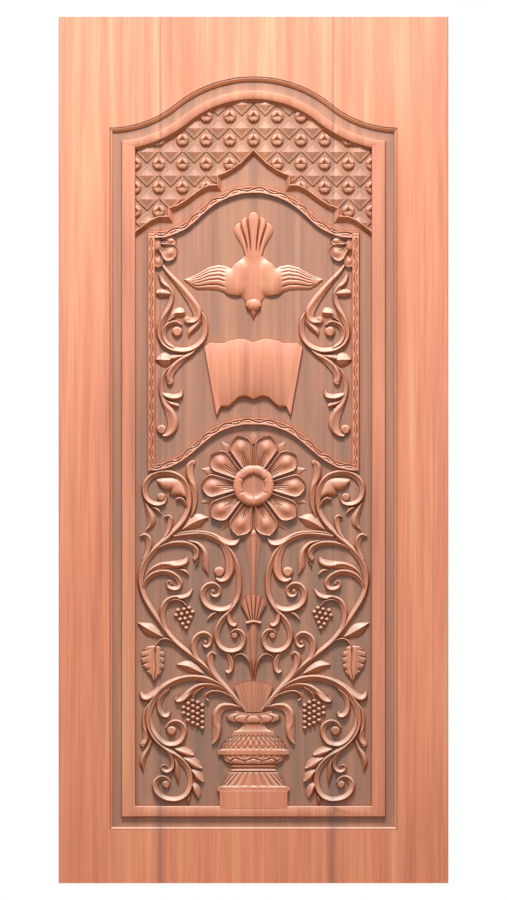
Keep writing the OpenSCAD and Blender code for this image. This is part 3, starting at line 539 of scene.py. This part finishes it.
def rope_border():
    """The two sides, and the arches above and below, of the border round the dove and the book, with a
    square block of four pits at each upper corner."""
    top = [(98.6, 573.8), (94, 574), (88, 574.6), (80, 577.3), (70, 582), (62, 588), (54, 595.5),
           (46, 602.5), (38, 608), (28, 613), (18, 616.5), (8, 618.5), (0, 618.7)]
    low = [(102, 341), (98, 341), (88, 343), (78, 347.5), (68, 354), (58, 362.5), (48, 371), (38, 378),
           (28, 382.5), (18, 385.5), (8, 387), (0, 387)]
    whole = [line + [(-u, v) for u, v in line[-2::-1]] for line in (top, low)]
    i, j = np.meshgrid(np.linspace(-3.3, 3.3, 13), np.linspace(-3.4, 3.4, 13), indexing="ij")
    pits = 2.4 * np.exp(-((np.hypot(np.abs(i) - 1.5, np.abs(j) - 1.5) / 0.6) ** 2))
    corner = [rope([(102.2, 337.6), (102.2, 454), (102.2, 570.4)]),
              relief(102.2 + i, 573.8 + j, 10.4 - pits)]
    return both(corner) + [rope(line) for line in whole]


def dove():
    """Bird seen from above, head down. Body and wings are one height between an upper and a lower edge: the
    smooth greatest of a ridge down the middle, a lobe of the back, a shoulder and the wing, with grooves
    along the flight feathers. The tail is a fan between side edges, with slots and round ends. The head is a
    dome."""
    u, s = np.linspace(-69.2, 69.2, 120)[:, None], np.linspace(0, 1, 38)
    a = np.abs(u)
    top = fan([(0, 556), (7, 555.5), (8.6, 553), (10, 551), (13.2, 548.2), (17, 545.8), (20, 543.4),
               (21.8, 541), (22.8, 539.6), (24.5, 540.8), (27.6, 542.2), (35.2, 543.4), (44.8, 541),
               (54.4, 535.3), (63.9, 531), (69.2, 529.3)], a)
    low = fan([(0, 498), (5, 499), (8.4, 507.5), (11.3, 510.4), (16.1, 512.8), (23.7, 513.7), (30.4, 515.7),
               (35.2, 517.6), (44.8, 518.5), (56.3, 518.5), (63.9, 522.8), (69.2, 528.7)], a)
    v = low + (top - low) * s
    rim = np.clip(np.sin(np.pi * s), 0, 1)
    ridge = 11.2 * np.sqrt(np.clip(1 - (a / 9.5) ** 2, 0, 1))
    ridge = ridge * fan([(498, 0.85), (520, 1), (545, 0.99), (556, 0.93)], v) * rim**0.2
    back = 10.6 * np.sqrt(np.clip(1 - ((a - 12.5) / 9.5) ** 2 - ((v - 537) / 12.5) ** 2, 0, 1))
    shoulder = 10.8 * np.sqrt(np.clip(1 - ((a - 18.5) / 14) ** 2 - ((v - 525.5) / 15) ** 2, 0, 1))
    wing = fan([(0, 7), (28, 7.4), (45, 7), (58, 5.6), (69.2, 3)], a) * rim**0.75
    feathers = sum(np.exp(-(((s - k) / 0.028) ** 2)) for k in (0.22, 0.44, 0.6, 0.755, 0.88))
    feathers = feathers * np.clip((a - 27.5) / 1.5, 0, 1) * np.clip((65 - a) / 8, 0, 1)
    h = 0.8 + (ridge**5 + back**5 + shoulder**5 + wing**5) ** 0.2 - 2.6 * feathers
    shells = [relief(np.broadcast_to(u, v.shape), v, h)]
    t, s = np.linspace(0, 1, 40)[:, None], np.linspace(-1, 1, 73)
    b = np.abs(s)
    side = fan([(0, 6.5), (0.14, 7.4), (0.23, 7.8), (0.36, 8.8), (0.53, 10.6), (0.7, 14), (0.87, 18),
                (1, 19.8)], t)
    length = fan([(0, 48.4), (0.1, 47.9), (0.2, 46.2), (0.27, 43.6), (0.32, 42.6), (0.4, 42.9), (0.5, 42.2),
                  (0.6, 40.2), (0.67, 37.6), (0.76, 37.4), (0.88, 35.6), (0.95, 33.6), (1, 31)], b)
    slots = [np.exp(-(((b - k) / 0.05) ** 2)) for k in (0.32, 0.67)]
    slot = sum(slots) * np.clip((t - 0.3) * 4, 0, 1)
    steps = fan([(0, 10.8), (0.28, 10.6), (0.34, 9.4), (0.64, 9), (0.7, 7.4), (0.92, 6.4), (1, 3.4)], b)
    ends = fan([(0, 0.8), (0.1, 1), (0.88, 0.98), (0.975, 0.8), (1, 0.3)], t)
    shells.append(relief(side * s, 540 + t * (length + 8), steps * ends * (1 - 0.76 * slot)))
    shells.append(dome(0, 503.8, 8.2, 13.4, 28, 8))
    shells.append(stroke([(0, 500, 6), (0, 496, 4.2), (0, 492.5, 2.2), (0, 488.8, 0.4)], 11, RIDGED))
    return shells + both([dome(6.3, 502.3, 1.3, 13, 8, 3)])


def book():
    """Open book: rows of [share of the way up, share of the bevel, drop in mm] from the bevel under the
    lower edge to the upper edge, and columns from side to side, with the pages' waves and a fold on the
    axis. The last pages on the right lie a little lower."""
    a = np.linspace(-1, 1, 81)
    b = np.abs(a)
    top = fan([(0, 466), (0.16, 469), (0.31, 469.5), (0.51, 467.5), (0.61, 465), (0.9, 465.5), (1, 461)], b)
    low = fan([(0, 409), (0.11, 411.5), (0.25, 413), (0.41, 411.5), (0.54, 407), (0.68, 402.5),
               (0.89, 402.5), (0.95, 397), (1, 393)], b)
    bevel = fan([(0, 0.3), (0.1, 1.8), (0.25, 2.2), (0.5, 2.6), (0.8, 2.8), (0.92, 1.8), (1, 0.3)], b)
    s, out, drop = np.array([(0, 1, 8.4), (0, 0.5, 4.4), (0, 0.08, 0.9), (0.012, 0, 0), (0.5, 0, 0),
                             (0.985, 0, 0), (1, 0, 0.9)]).T[:, :, None]
    u = a * (37 + 12 * s)
    v = low + (top - low) * s - bevel * out
    wave = fan([(0, 9.4), (0.03, 10.2), (0.2, 11), (0.34, 10.8), (0.48, 10), (0.6, 9.8), (0.72, 10.4),
                (0.88, 10.2), (1, 9.2)], b)
    return [relief(u, v, wave - 0.9 * (a < -0.9) - drop)]


def centre_stem():
    """Trumpet, ribbed shell, collar and shaft below the flower, and a pleated fan in the urn's mouth.
    Shell and fan are heights over angle and radius, raised in rounded pleats."""
    shells = [stroke([(0, 275, 10.5), (0, 262, 8), (0, 250, 6), (0, 235, 4), (0, 213, 2.6)], 7.5, RIDGED),
              stroke([(0, 272, 4), (0, 250, 2.8), (0, 232, 1.9), (0, 213, 1.3)], 10, ROUNDED),
              stroke([(7.4, 185, 1.8), (0, 186.6, 2), (-7.4, 185, 1.8)], 9.8, ROUNDED),
              stroke([(0, 184, 4.6), (0, 165, 3.8), (0, 145, 2.6), (0, 126, 1.4)], 7.5, RIDGED)]
    a, t = np.linspace(-1, 1, 51), np.linspace(0, 1, 12)[:, None]
    rib = np.abs(np.cos(2.5 * np.pi * a)) ** 0.6
    shells.append(relief(a * (4.6 + 8.6 * t), 187.5 + t * (25.5 - 9 * a**2 + 1.6 * rib),
                         4.4 + 2 * t + 4 * rib))
    a = np.linspace(-1, 1, 73)
    pleat = np.abs(np.cos(4.5 * np.pi * a)) ** 0.7
    shells.append(relief(a * (9 + 10.5 * t), 96 + t * (30.5 - 5.5 * a**2 + 0.8 * pleat),
                         6.4 + 2 * t + 1.1 * pleat))
    return shells


def urn():
    """Turned urn flattened into relief: half-width by height, a rounded section across, and a pattern cut
    into each member: curved flutes on the foot, rings, leaf scallops, a net of scales and a gadrooned rim
    that dips in the middle."""
    outline = [(0, 33.9), (17, 33.9), (17.4, 36.6), (21.3, 36.6), (21.7, 32), (23.5, 31.5), (28, 29.6),
               (32, 27.6), (35.6, 25.2), (36.2, 23), (38.4, 23), (38.8, 20.8), (41, 20.8), (41.4, 22.2),
               (43, 22.2), (43.6, 21.6), (46, 27), (48.5, 30), (52.8, 32), (53.4, 35.8), (58, 35.8),
               (58.4, 33.2), (61, 32.6), (65, 30.6), (69, 27), (72.6, 22.8), (74.2, 20.8), (76.4, 20.6),
               (77, 18.4), (79, 14), (81.5, 11.8), (84, 11.3), (85, 14), (86, 22), (87.6, 25.4), (90, 27.2),
               (92, 27.2), (94, 24.5), (94.8, 19), (97.6, 17.9)]
    plinth_top, mouth = 17.4, 97.6
    v = np.concatenate([[0, 0.5, 16.5, 17], np.linspace(plinth_top, mouth, 134)])[:, None]
    a = np.linspace(-0.5, 0.5, 85) * np.pi
    s = np.sin(a)
    w = fan(outline, v)
    turned = 2.5 + 10.2 * (w / 36.5) ** 0.8 * np.sqrt(1 - (0.95 * s) ** 2)
    h = np.where(v < plinth_top - 0.2, 14.2 - 0.4 * s**6, turned)

    def member(low, high):
        """1 on a member of the urn, with soft ends."""
        return np.clip((v - low) / 0.6, 0, 1) * np.clip((high - v) / 0.6, 0, 1)

    h = h - 2.6 * member(21.8, 35.4) * np.abs(np.cos(a * (15 - 5 * (35.6 - v) / 14))) ** 4
    h = h - 2.6 * (member(35.2, 36.8) + member(38.2, 41.2) + member(42.8, 44))
    lobe = 44.4 + 4.4 * np.abs(np.cos(5 * a)) ** 0.6
    scallop = np.exp(-(((v - lobe - 0.5) / 0.6) ** 2))
    h = h + 1.2 * member(43.6, 53) * (v < lobe) - 3 * member(43.6, 53) * scallop
    h = h - 1.8 * member(49.5, 53.2) * np.abs(np.cos(a * 15)) ** 3
    p, q = a / 0.19, (v - 58.5) / 10
    net = sum(np.exp(-(((p + k * q) % 1 - 0.5) / 0.11) ** 2) for k in (1, -1))
    h = h - 2.6 * member(58.8, 73.6) * np.clip(net, 0, 1)
    h = h - 3.6 * member(85, 94.8) * np.exp(-((np.cos(5.93 * a + 0.06 * (v - 90) * np.sign(a)) / 0.3) ** 2))
    dip = 2.7 * (1 - s**2) * np.clip((v - 84) / 8, 0, 1)
    return relief(w * s, v - dip, np.broadcast_to(h, (len(v), len(s))))


def corner_flower():
    """Part of a flower in the border's corner: a round button and three blunt petals."""
    return [dome(98, 564.3, 7.4, 5.6, 24, 7, 0.1),
            petal(97, 564, math.radians(211), 5, 22.5, 9.4, 10, 18, BLUNT, 0.46),
            petal(97, 566.6, math.radians(176), 4, 20, 5, 9, 14, BLUNT, 0.4),
            petal(97.4, 561, math.radians(263), 4, 20, 5.4, 9, 14, BLUNT, 0.4)]


def carving():
    """All shells that stand up from the ground: those of the lattice, of the leafwork, and the others."""
    half = [stroke(p, 10.5) for p in STEMS] + [stroke(p, 9.5, RIDGED) for p in LEAVES]
    half += [stroke(p, 10, DISHED, lean=side) for p, side in BUDS]
    half += [dome(u, v, r, 1.2 * r + 5, 16, 6, 0.2) for u, v, r in EYES]
    half += [dome(u, v, 2.5, 8.4, 10, 5) for u, v in UPPER_GRAPES + LOWER_GRAPES]
    half += [veined_leaf(), broad_leaf()] + corner_flower()
    return (lattice() + [crown_slope()], both(half) + [urn()] + flower() + centre_stem(),
            both([cusped_edge()]) + rope_border() + dove() + book())


def plan_of(left, right, tongue, groove):
    """Outline of a board in plan, with a tongue on its right edge or a groove in its left one."""
    t, g = TONGUE_T / 2, TONGUE_T / 2 + GLUE_GAP
    bottom, tip = left + TONGUE_L + GLUE_GAP, right + TONGUE_L
    cut = [(left, TONGUE_Y + g), (bottom, TONGUE_Y + g), (bottom, TONGUE_Y - g), (left, TONGUE_Y - g)]
    out = [(right, TONGUE_Y - t), (tip, TONGUE_Y - t), (tip, TONGUE_Y + t), (right, TONGUE_Y + t)]
    left_edge = [(left, SPARE)] + (cut if groove else []) + [(left, -SPARE)]
    right_edge = [(right, -SPARE)] + (out if tongue else []) + [(right, SPARE)]
    return np.array(left_edge + right_edge)


# Edges that turn by more than this are sharp.
SHARP = math.radians(38)


def cut_board(name, left, right, tongue, groove, leaf, relief_mesh):
    """One board: the plain leaf inside the board's plan, and the carving between its two edges, closed where
    they cut it."""
    plan = plan_of(left, right, tongue, groove)
    rings = np.array([np.column_stack([plan, np.full(len(plan), z)]) for z in (-SPARE, LEAF_H + SPARE)])
    cutter = bpy.data.objects.new("cutter", mesh_of("cutter", [solid(rings)]))
    blank = bpy.data.objects.new("blank", leaf.copy())
    for o in (cutter, blank):
        bpy.context.scene.collection.objects.link(o)
        turn_out(o.data)
    keep = blank.modifiers.new("plan", "BOOLEAN")
    keep.operation, keep.solver, keep.object = "INTERSECT", "EXACT", cutter
    cut = bpy.data.meshes.new_from_object(blank.evaluated_get(bpy.context.evaluated_depsgraph_get()))
    bm = bmesh.new()
    bm.from_mesh(relief_mesh)
    for x, outwards in ((left, -1), (right, 1)):
        made = bmesh.ops.bisect_plane(bm, geom=bm.verts[:] + bm.edges[:] + bm.faces[:], plane_co=(x, 0, 0),
                                      plane_no=(outwards, 0, 0), clear_outer=True)
        edges = [e for e in made["geom_cut"] if isinstance(e, bmesh.types.BMEdge)]
        bmesh.ops.holes_fill(bm, edges=edges, sides=0)
    bmesh.ops.recalc_face_normals(bm, faces=bm.faces[:])
    bm.from_mesh(cut)
    mesh = bpy.data.meshes.new(name)
    bm.to_mesh(mesh)
    bm.free()
    for o in (cutter, blank):
        bpy.data.objects.remove(o)
    mesh.shade_smooth()
    mesh.set_sharp_from_angle(angle=SHARP)
    mark_stain_and_painted_light(mesh)
    board = bpy.data.objects.new(name, mesh)
    bpy.context.scene.collection.objects.link(board)
    return board


def mark_stain_and_painted_light(mesh):
    """Writes what the stain and the painted light and shade read: carved is 1 where the moulding and the
    carving are, lie is how far each face corner there looks up (1) or down (-1), and steep is how far it
    turns from the front (1 is square)."""
    normals = np.empty((len(mesh.loops), 3), np.float32)
    spots = np.empty((len(mesh.vertices), 3), np.float32)
    at = np.empty(len(mesh.loops), np.int32)
    mesh.corner_normals.foreach_get("vector", normals.ravel())
    mesh.vertices.foreach_get("co", spots.ravel())
    mesh.loops.foreach_get("vertex_index", at)
    x, y, z = spots.T
    inside = (np.abs(x) < MARGIN_X) & (z > MARGIN_FOOT) & (z < MARGIN_HEAD) & (y < GROUND + FRONT_SPARE)
    mesh.attributes.new("carved", "FLOAT", "POINT").data.foreach_set("value", inside.astype(np.float32))
    for key, value in (("lie", normals[:, 2]), ("steep", 1 - np.abs(normals[:, 1]))):
        value = (value * inside[at]).astype(np.float32)
        mesh.attributes.new(key, "FLOAT", "CORNER").data.foreach_set("value", value)


def turn_out(mesh):
    """Turns every face of a closed mesh outwards."""
    bm = bmesh.new()
    bm.from_mesh(mesh)
    bmesh.ops.recalc_face_normals(bm, faces=bm.faces[:])
    bm.to_mesh(mesh)
    bm.free()


def colour(code):
    """sRGB hex to linear RGBA."""
    c = np.array([int(code[k:k + 2], 16) for k in (1, 3, 5)]) / 255
    return (*np.where(c <= 0.04045, c / 12.92, ((c + 0.055) / 1.055) ** 2.4), 1.0)


def add(tree, kind, inputs=(), **settings):
    """Adds one node, with its settings, and its inputs as values or links."""
    node = tree.nodes.new(kind)
    for name, value in settings.items():
        setattr(node, name, value)
    for socket, value in dict(inputs).items():
        if isinstance(value, bpy.types.NodeSocket):
            tree.links.new(value, node.inputs[socket])
        else:
            node.inputs[socket].default_value = value
    return node


def finished_teak_and_painted_light():
    """Teak boards, planed and carved, under a clear satin finish. The eye sees upright streaks that start
    again on each board, grey-brown stain left in the low places, and a soft gloss on the rounded tops. Over
    these lie painted light and shade: painted shade in the hollows and cuts, on steep sides and on slopes
    that look down, a painted highlight on slopes that look up, and a painted paler tone towards the head."""
    # Sockets go by number: Map Range has its value at 0, the range that it comes from at 1 and 2, and the
    # range that it goes to at 3 and 4. Mix has its share at 0, numbers at 2 and 3, and colours at 6 and 7.
    material = bpy.data.materials.new("finished_teak_and_painted_light")
    material.use_nodes = True
    tree = material.node_tree
    tree.nodes.clear()
    spot = add(tree, "ShaderNodeTexCoord").outputs["Object"]
    x, y, z = add(tree, "ShaderNodeSeparateXYZ", {0: spot}).outputs
    # The grain moves to another part of the pattern on each board.
    past_left = add(tree, "ShaderNodeMath", {0: x, 1: SEAM_LEFT}, operation="GREATER_THAN").outputs[0]
    past_right = add(tree, "ShaderNodeMath", {0: x, 1: SEAM_RIGHT}, operation="GREATER_THAN").outputs[0]
    which = add(tree, "ShaderNodeMath", {0: past_left, 1: past_right}, operation="ADD").outputs[0]
    shift = add(tree, "ShaderNodeVectorMath", {0: (3.7, 0, 1.9), 1: which}, operation="MULTIPLY").outputs[0]
    log = add(tree, "ShaderNodeVectorMath", {0: spot, 1: shift}, operation="ADD").outputs[0]
    # Streaks 26 mm wide and 740 mm long, fine lines 5 by 250 mm, and broad tones 110 by 690 mm: the width,
    # the width's share of the length, and the noise's detail and roughness.
    grain = []
    figures = [(0.026, 0.035, 3, 0.6), (0.005, 0.02, 2, 0.5), (0.11, 0.16, 2, 0.5)]
    for width, squash, detail, rough in figures:
        along = (1, 0.4, squash)
        way = add(tree, "ShaderNodeVectorMath", {0: log, 1: along}, operation="MULTIPLY").outputs[0]
        noise = {"Vector": way, "Scale": 1 / width, "Detail": detail, "Roughness": rough}
        grain.append(add(tree, "ShaderNodeTexNoise", noise).outputs[0])
    streak, fine, broad = grain
    mixed = add(tree, "ShaderNodeMath", {0: streak, 1: 0.62}, operation="MULTIPLY").outputs[0]
    mixed = add(tree, "ShaderNodeMath", {0: broad, 1: 0.38, 2: mixed}, operation="MULTIPLY_ADD").outputs[0]
    tones = add(tree, "ShaderNodeValToRGB", {0: mixed})
    stops = [(0.32, "#d0805f"), (0.44, "#e4926f"), (0.54, "#ee9c77"), (0.68, "#f3b083")]
    marks = tones.color_ramp.elements
    while len(marks) < len(stops):
        marks.new(0.5)
    for mark, (where, code) in zip(marks, stops):
        mark.position, mark.color = where, colour(code)
    lines = add(tree, "ShaderNodeMapRange", {0: fine, 1: 0.3, 2: 0.7, 3: 0.87, 4: 1.07}).outputs[0]
    wood = add(tree, "ShaderNodeVectorMath", {0: tones.outputs[0], 1: lines},
               operation="MULTIPLY").outputs[0]
    # Painted light: the colour is paler towards the head, where the light falls strongest, and redder
    # towards the foot.
    up = add(tree, "ShaderNodeMapRange", {0: z, 1: 0, 2: LEAF_H}).outputs[0]
    redder, paler = (1.08, 0.95, 0.9, 1), (0.86, 0.89, 0.98, 1)
    tone = add(tree, "ShaderNodeMix", {0: up, 6: redder, 7: paler}, data_type="RGBA").outputs[2]
    wood = add(tree, "ShaderNodeVectorMath", {0: wood, 1: tone}, operation="MULTIPLY").outputs[0]
    # Stain stays in low places: none on the face, a little on the band and the carving, most on the ground,
    # and less on the ground towards the head. Part of the share from the depth of the moulding's hollow down
    # is painted shade, standing in for the shadow under the moulding's lip.
    band = add(tree, "ShaderNodeMapRange",
               {0: y, 1: FACE + 0.0006, 2: FACE + 0.0013, 3: 0, 4: 0.18}).outputs[0]
    cove = add(tree, "ShaderNodeMapRange",
               {0: y, 1: FACE + 0.0038, 2: FACE + 0.008, 3: 0, 4: 0.5}).outputs[0]
    more = add(tree, "ShaderNodeMapRange", {0: z, 1: 0.9, 2: 1.15, 3: 0.12, 4: 0}).outputs[0]
    ground = add(tree, "ShaderNodeMapRange",
                 {0: y, 1: FACE + 0.0095, 2: GROUND - 0.0005, 3: 0, 4: more}).outputs[0]
    low = add(tree, "ShaderNodeMath", {0: band, 1: cove}, operation="ADD").outputs[0]
    low = add(tree, "ShaderNodeMath", {0: low, 1: ground}, operation="ADD").outputs[0]
    worn_low = add(tree, "ShaderNodeMapRange",
                   {0: y, 1: GROUND - 0.0045, 2: GROUND, 3: 0.14, 4: 0.62}).outputs[0]
    stain_wear_and_sheen = add(tree, "ShaderNodeAttribute", attribute_name="wear_and_painted_sheen_share").outputs["Fac"]
    low = add(tree, "ShaderNodeMix", {0: stain_wear_and_sheen, 2: low, 3: worn_low}).outputs[0]
    uneven = add(tree, "ShaderNodeMapRange", {0: streak, 1: 0.35, 2: 0.65, 3: 1.14, 4: 0.8}).outputs[0]
    low = add(tree, "ShaderNodeMath", {0: low, 1: uneven}, operation="MULTIPLY").outputs[0]
    inside = add(tree, "ShaderNodeAttribute", attribute_name="carved").outputs["Fac"]
    low = add(tree, "ShaderNodeMath", {0: low, 1: inside}, operation="MULTIPLY").outputs[0]
    # Painted shade: steep sides are darkened brown, as if in shade.
    steep = add(tree, "ShaderNodeAttribute", attribute_name="steep").outputs["Fac"]
    sides = add(tree, "ShaderNodeMapRange", {0: steep, 1: 0.24, 2: 0.66, 3: 0, 4: 0.68}).outputs[0]
    # Painted highlight and shade: slopes that look up are painted paler, as if lit from above, and slopes
    # that look down are painted red-brown, as if in shade. The highlight is strongest at the foot, fades
    # towards the head, and is half as strong in the lattice.
    lie = add(tree, "ShaderNodeAttribute", attribute_name="lie").outputs["Fac"]
    most = add(tree, "ShaderNodeMapRange", {0: z, 1: 0.2, 2: 1.2, 3: 1, 4: 0.64}).outputs[0]
    reached = add(tree, "ShaderNodeMapRange", {0: stain_wear_and_sheen, 1: 0, 2: 0.5, 3: 0.5, 4: 1}).outputs[0]
    most = add(tree, "ShaderNodeMath", {0: most, 1: reached}, operation="MULTIPLY").outputs[0]
    painted_top_light = add(tree, "ShaderNodeMapRange", {0: lie, 1: 0.08, 2: 0.5, 3: 0, 4: most}).outputs[0]
    under = add(tree, "ShaderNodeMapRange", {0: lie, 1: -0.1, 2: -0.5, 3: 0, 4: 0.85}).outputs[0]
    # Painted shade in hollows of about 22 mm and in cuts of about 5 mm, read from ambient occlusion.
    hollow = add(tree, "ShaderNodeAmbientOcclusion", {"Distance": 0.022}, samples=8,
                 only_local=True).outputs["AO"]
    painted_hollow_shade = add(tree, "ShaderNodeMapRange", {0: hollow, 1: 0.25, 2: 0.85, 3: 0.36, 4: 0}).outputs[0]
    nick = add(tree, "ShaderNodeAmbientOcclusion", {"Distance": 0.005}, samples=6,
               only_local=True).outputs["AO"]
    painted_cut_shade = add(tree, "ShaderNodeMapRange", {0: nick, 1: 0.35, 2: 0.85, 3: 0.85, 4: 0}).outputs[0]
    # Glue lines: 5 mm dark lines at the two joints, which smear out towards the foot.
    offs = []
    for seam in (SEAM_LEFT, SEAM_RIGHT):
        off = add(tree, "ShaderNodeMath", {0: x, 1: seam}, operation="SUBTRACT").outputs[0]
        offs.append(add(tree, "ShaderNodeMath", {0: off}, operation="ABSOLUTE").outputs[0])
    off = add(tree, "ShaderNodeMath", dict(enumerate(offs)), operation="MINIMUM").outputs[0]
    foot = add(tree, "ShaderNodeMapRange", {0: z, 1: 0.75, 2: 0.1, 3: 0, 4: 0.38}).outputs[0]
    clear = add(tree, "ShaderNodeMapRange", {0: z, 1: 0.5, 2: 1.4, 3: 0.14, 4: 0.42}).outputs[0]
    thin = add(tree, "ShaderNodeMapRange", {0: off, 1: 0.001, 2: 0.004, 3: clear, 4: 0}).outputs[0]
    soft = add(tree, "ShaderNodeMapRange", {0: off, 1: 0.002, 2: 0.017, 3: 1, 4: 0},
               interpolation_type="SMOOTHSTEP").outputs[0]
    smear = add(tree, "ShaderNodeMath", {0: soft, 1: foot, 2: thin}, operation="MULTIPLY_ADD").outputs[0]
    # The stain, the painted shade and highlights, and the glue lines lie one over the other in this order.
    colour_layers = [(low, "#876f5f"), (sides, "#a85c2e"), (painted_top_light, "#dfbba6"), (under, "#bc662c"),
             (painted_hollow_shade, "#984a1a"), (painted_cut_shade, "#823c12"), (smear, "#6a5452")]
    for share, code in colour_layers:
        wood = add(tree, "ShaderNodeMix", {0: share, 6: wood, 7: colour(code)}, data_type="RGBA").outputs[2]
    gloss = add(tree, "ShaderNodeMapRange", {0: fine, 1: 0.3, 2: 0.7, 3: 0.42, 4: 0.54}).outputs[0]
    pores = add(tree, "ShaderNodeBump", {"Strength": 0.25, "Distance": 0.0003, "Height": fine}).outputs[0]
    skin = add(tree, "ShaderNodeBsdfPrincipled",
               {"Base Color": wood, "Roughness": gloss, "Normal": pores, "IOR": 1.5,
                "Specular IOR Level": 0.5})
    add(tree, "ShaderNodeOutputMaterial", {0: skin.outputs[0]})
    return material


def seen_rays(tree):
    """1 on rays that carry what the eye sees, straight or by way of glass or gloss, and 0 on light that
    spreads."""
    path = add(tree, "ShaderNodeLightPath").outputs
    seen = path["Is Camera Ray"]
    for ray in ("Is Transmission Ray", "Is Glossy Ray"):
        seen = add(tree, "ShaderNodeMath", {0: seen, 1: path[ray]}, operation="MAXIMUM").outputs[0]
    return seen


def matt_floor():
    """Pale matt studio floor. It is seen pale, with a weak glow, and sends only a little of the light
    back up."""
    material = bpy.data.materials.new("matt_floor")
    material.use_nodes = True
    tree = material.node_tree
    tree.nodes.clear()
    seen = seen_rays(tree)
    dark, pale = colour("#4a4948"), colour("#dddcda")
    tone = add(tree, "ShaderNodeMix", {0: seen, 6: dark, 7: pale}, data_type="RGBA").outputs[2]
    glow = add(tree, "ShaderNodeMath", {0: seen, 1: 0.3}, operation="MULTIPLY").outputs[0]
    skin = add(tree, "ShaderNodeBsdfPrincipled",
               {"Base Color": tone, "Roughness": 0.9, "Emission Color": (1, 1, 1, 1),
                "Emission Strength": glow})
    add(tree, "ShaderNodeOutputMaterial", {0: skin.outputs[0]})
    return material


# The boards.
teak = finished_teak_and_painted_light()
leaf_mesh = mesh_of("leaf", [plain_leaf()])
parts = carving()
carved = mesh_of("carving", [shell for part in parts for shell in part])
# Share of the stain that is worn off: none in the lattice, half on leafwork, all on the plain figures. The
# same share makes the painted highlight half as strong on the lattice.
wear_and_painted_sheen_share = np.repeat(np.float32([0, 0.5, 1]), [sum(len(shell[0]) for shell in part) for part in parts])
carved.attributes.new("wear_and_painted_sheen_share", "FLOAT", "POINT").data.foreach_set("value", wear_and_painted_sheen_share)
edge = LEAF_W / 2 + PAST_EDGE
boards = [("left_board", -edge, SEAM_LEFT, True, False), ("centre_board", SEAM_LEFT, SEAM_RIGHT, True, True),
          ("right_board", SEAM_RIGHT, edge, False, True)]
for node, left, right, tongue, groove in boards:
    board = cut_board("carved_" + node, left, right, tongue, groove, leaf_mesh, carved)
    board.data.materials.append(teak)
    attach(board, "root")
    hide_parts(node)

# Floor.
FLOOR_HALF = 6
floor_points = np.array([(-1, -1, 0), (1, -1, 0), (1, 1, 0), (-1, 1, 0)], float) * FLOOR_HALF
floor = bpy.data.objects.new("floor", mesh_of("floor", [(floor_points, np.array([[0, 1, 2, 3]]), [])]))
bpy.context.scene.collection.objects.link(floor)
floor.data.materials.append(matt_floor())

# Lamps: where each one stands, where it aims, its width in metres and its watts. The key hangs high in
# front, so that slopes that look up are bright.
LAMPS = [("key", (-0.2, -1.95, 4.3), (0, 0, 1.15), 0.9, 210),
         ("fill", (1.6, -3.2, 1.2), (0, 0, 0.9), 1.6, 4), ("back", (-1.5, 3.0, 2.6), (0, 0, 1.0), 2.0, 60)]
for name, spot, aim, size, watts in LAMPS:
    lamp = bpy.data.lights.new(name, "AREA")
    lamp.shape, lamp.size, lamp.energy = "DISK", size, watts
    lamp_object = bpy.data.objects.new(name, lamp)
    lamp_object.location = spot
    x, y, z = np.array(spot) - np.array(aim)
    lamp_object.rotation_euler = (math.atan2(math.hypot(x, y), z), 0, math.atan2(x, -y))
    bpy.context.scene.collection.objects.link(lamp_object)

# White surroundings, which light the door at less than they show.
SKY_LIGHT, SKY_SEEN = 0.42, 1.0
world = bpy.data.worlds.new("studio")
world.use_nodes = True
bpy.context.scene.world = world
tree = world.node_tree
tree.nodes.clear()
level = add(tree, "ShaderNodeMapRange", {0: seen_rays(tree), 3: SKY_LIGHT, 4: SKY_SEEN}).outputs[0]
sky = add(tree, "ShaderNodeBackground", {"Color": (1, 1, 1, 1), "Strength": level})
add(tree, "ShaderNodeOutputWorld", {0: sky.outputs[0]})

# The camera looks straight at the front, without perspective. Heights of the photograph and of the leaf in
# it are in pixels.
PHOTO_PX, LEAF_PX = 900, 866.4
CAMERA_AWAY = 5
camera = bpy.data.cameras.new("camera")
camera.type, camera.sensor_fit, camera.ortho_scale = "ORTHO", "VERTICAL", PHOTO_PX * LEAF_H / LEAF_PX
camera_object = bpy.data.objects.new("camera", camera)
camera_object.location, camera_object.rotation_euler = (0, -CAMERA_AWAY, LEAF_H / 2), (math.pi / 2, 0, 0)
bpy.context.scene.collection.objects.link(camera_object)
bpy.context.scene.camera = camera_object
bpy.context.scene.view_settings.view_transform = "Standard"
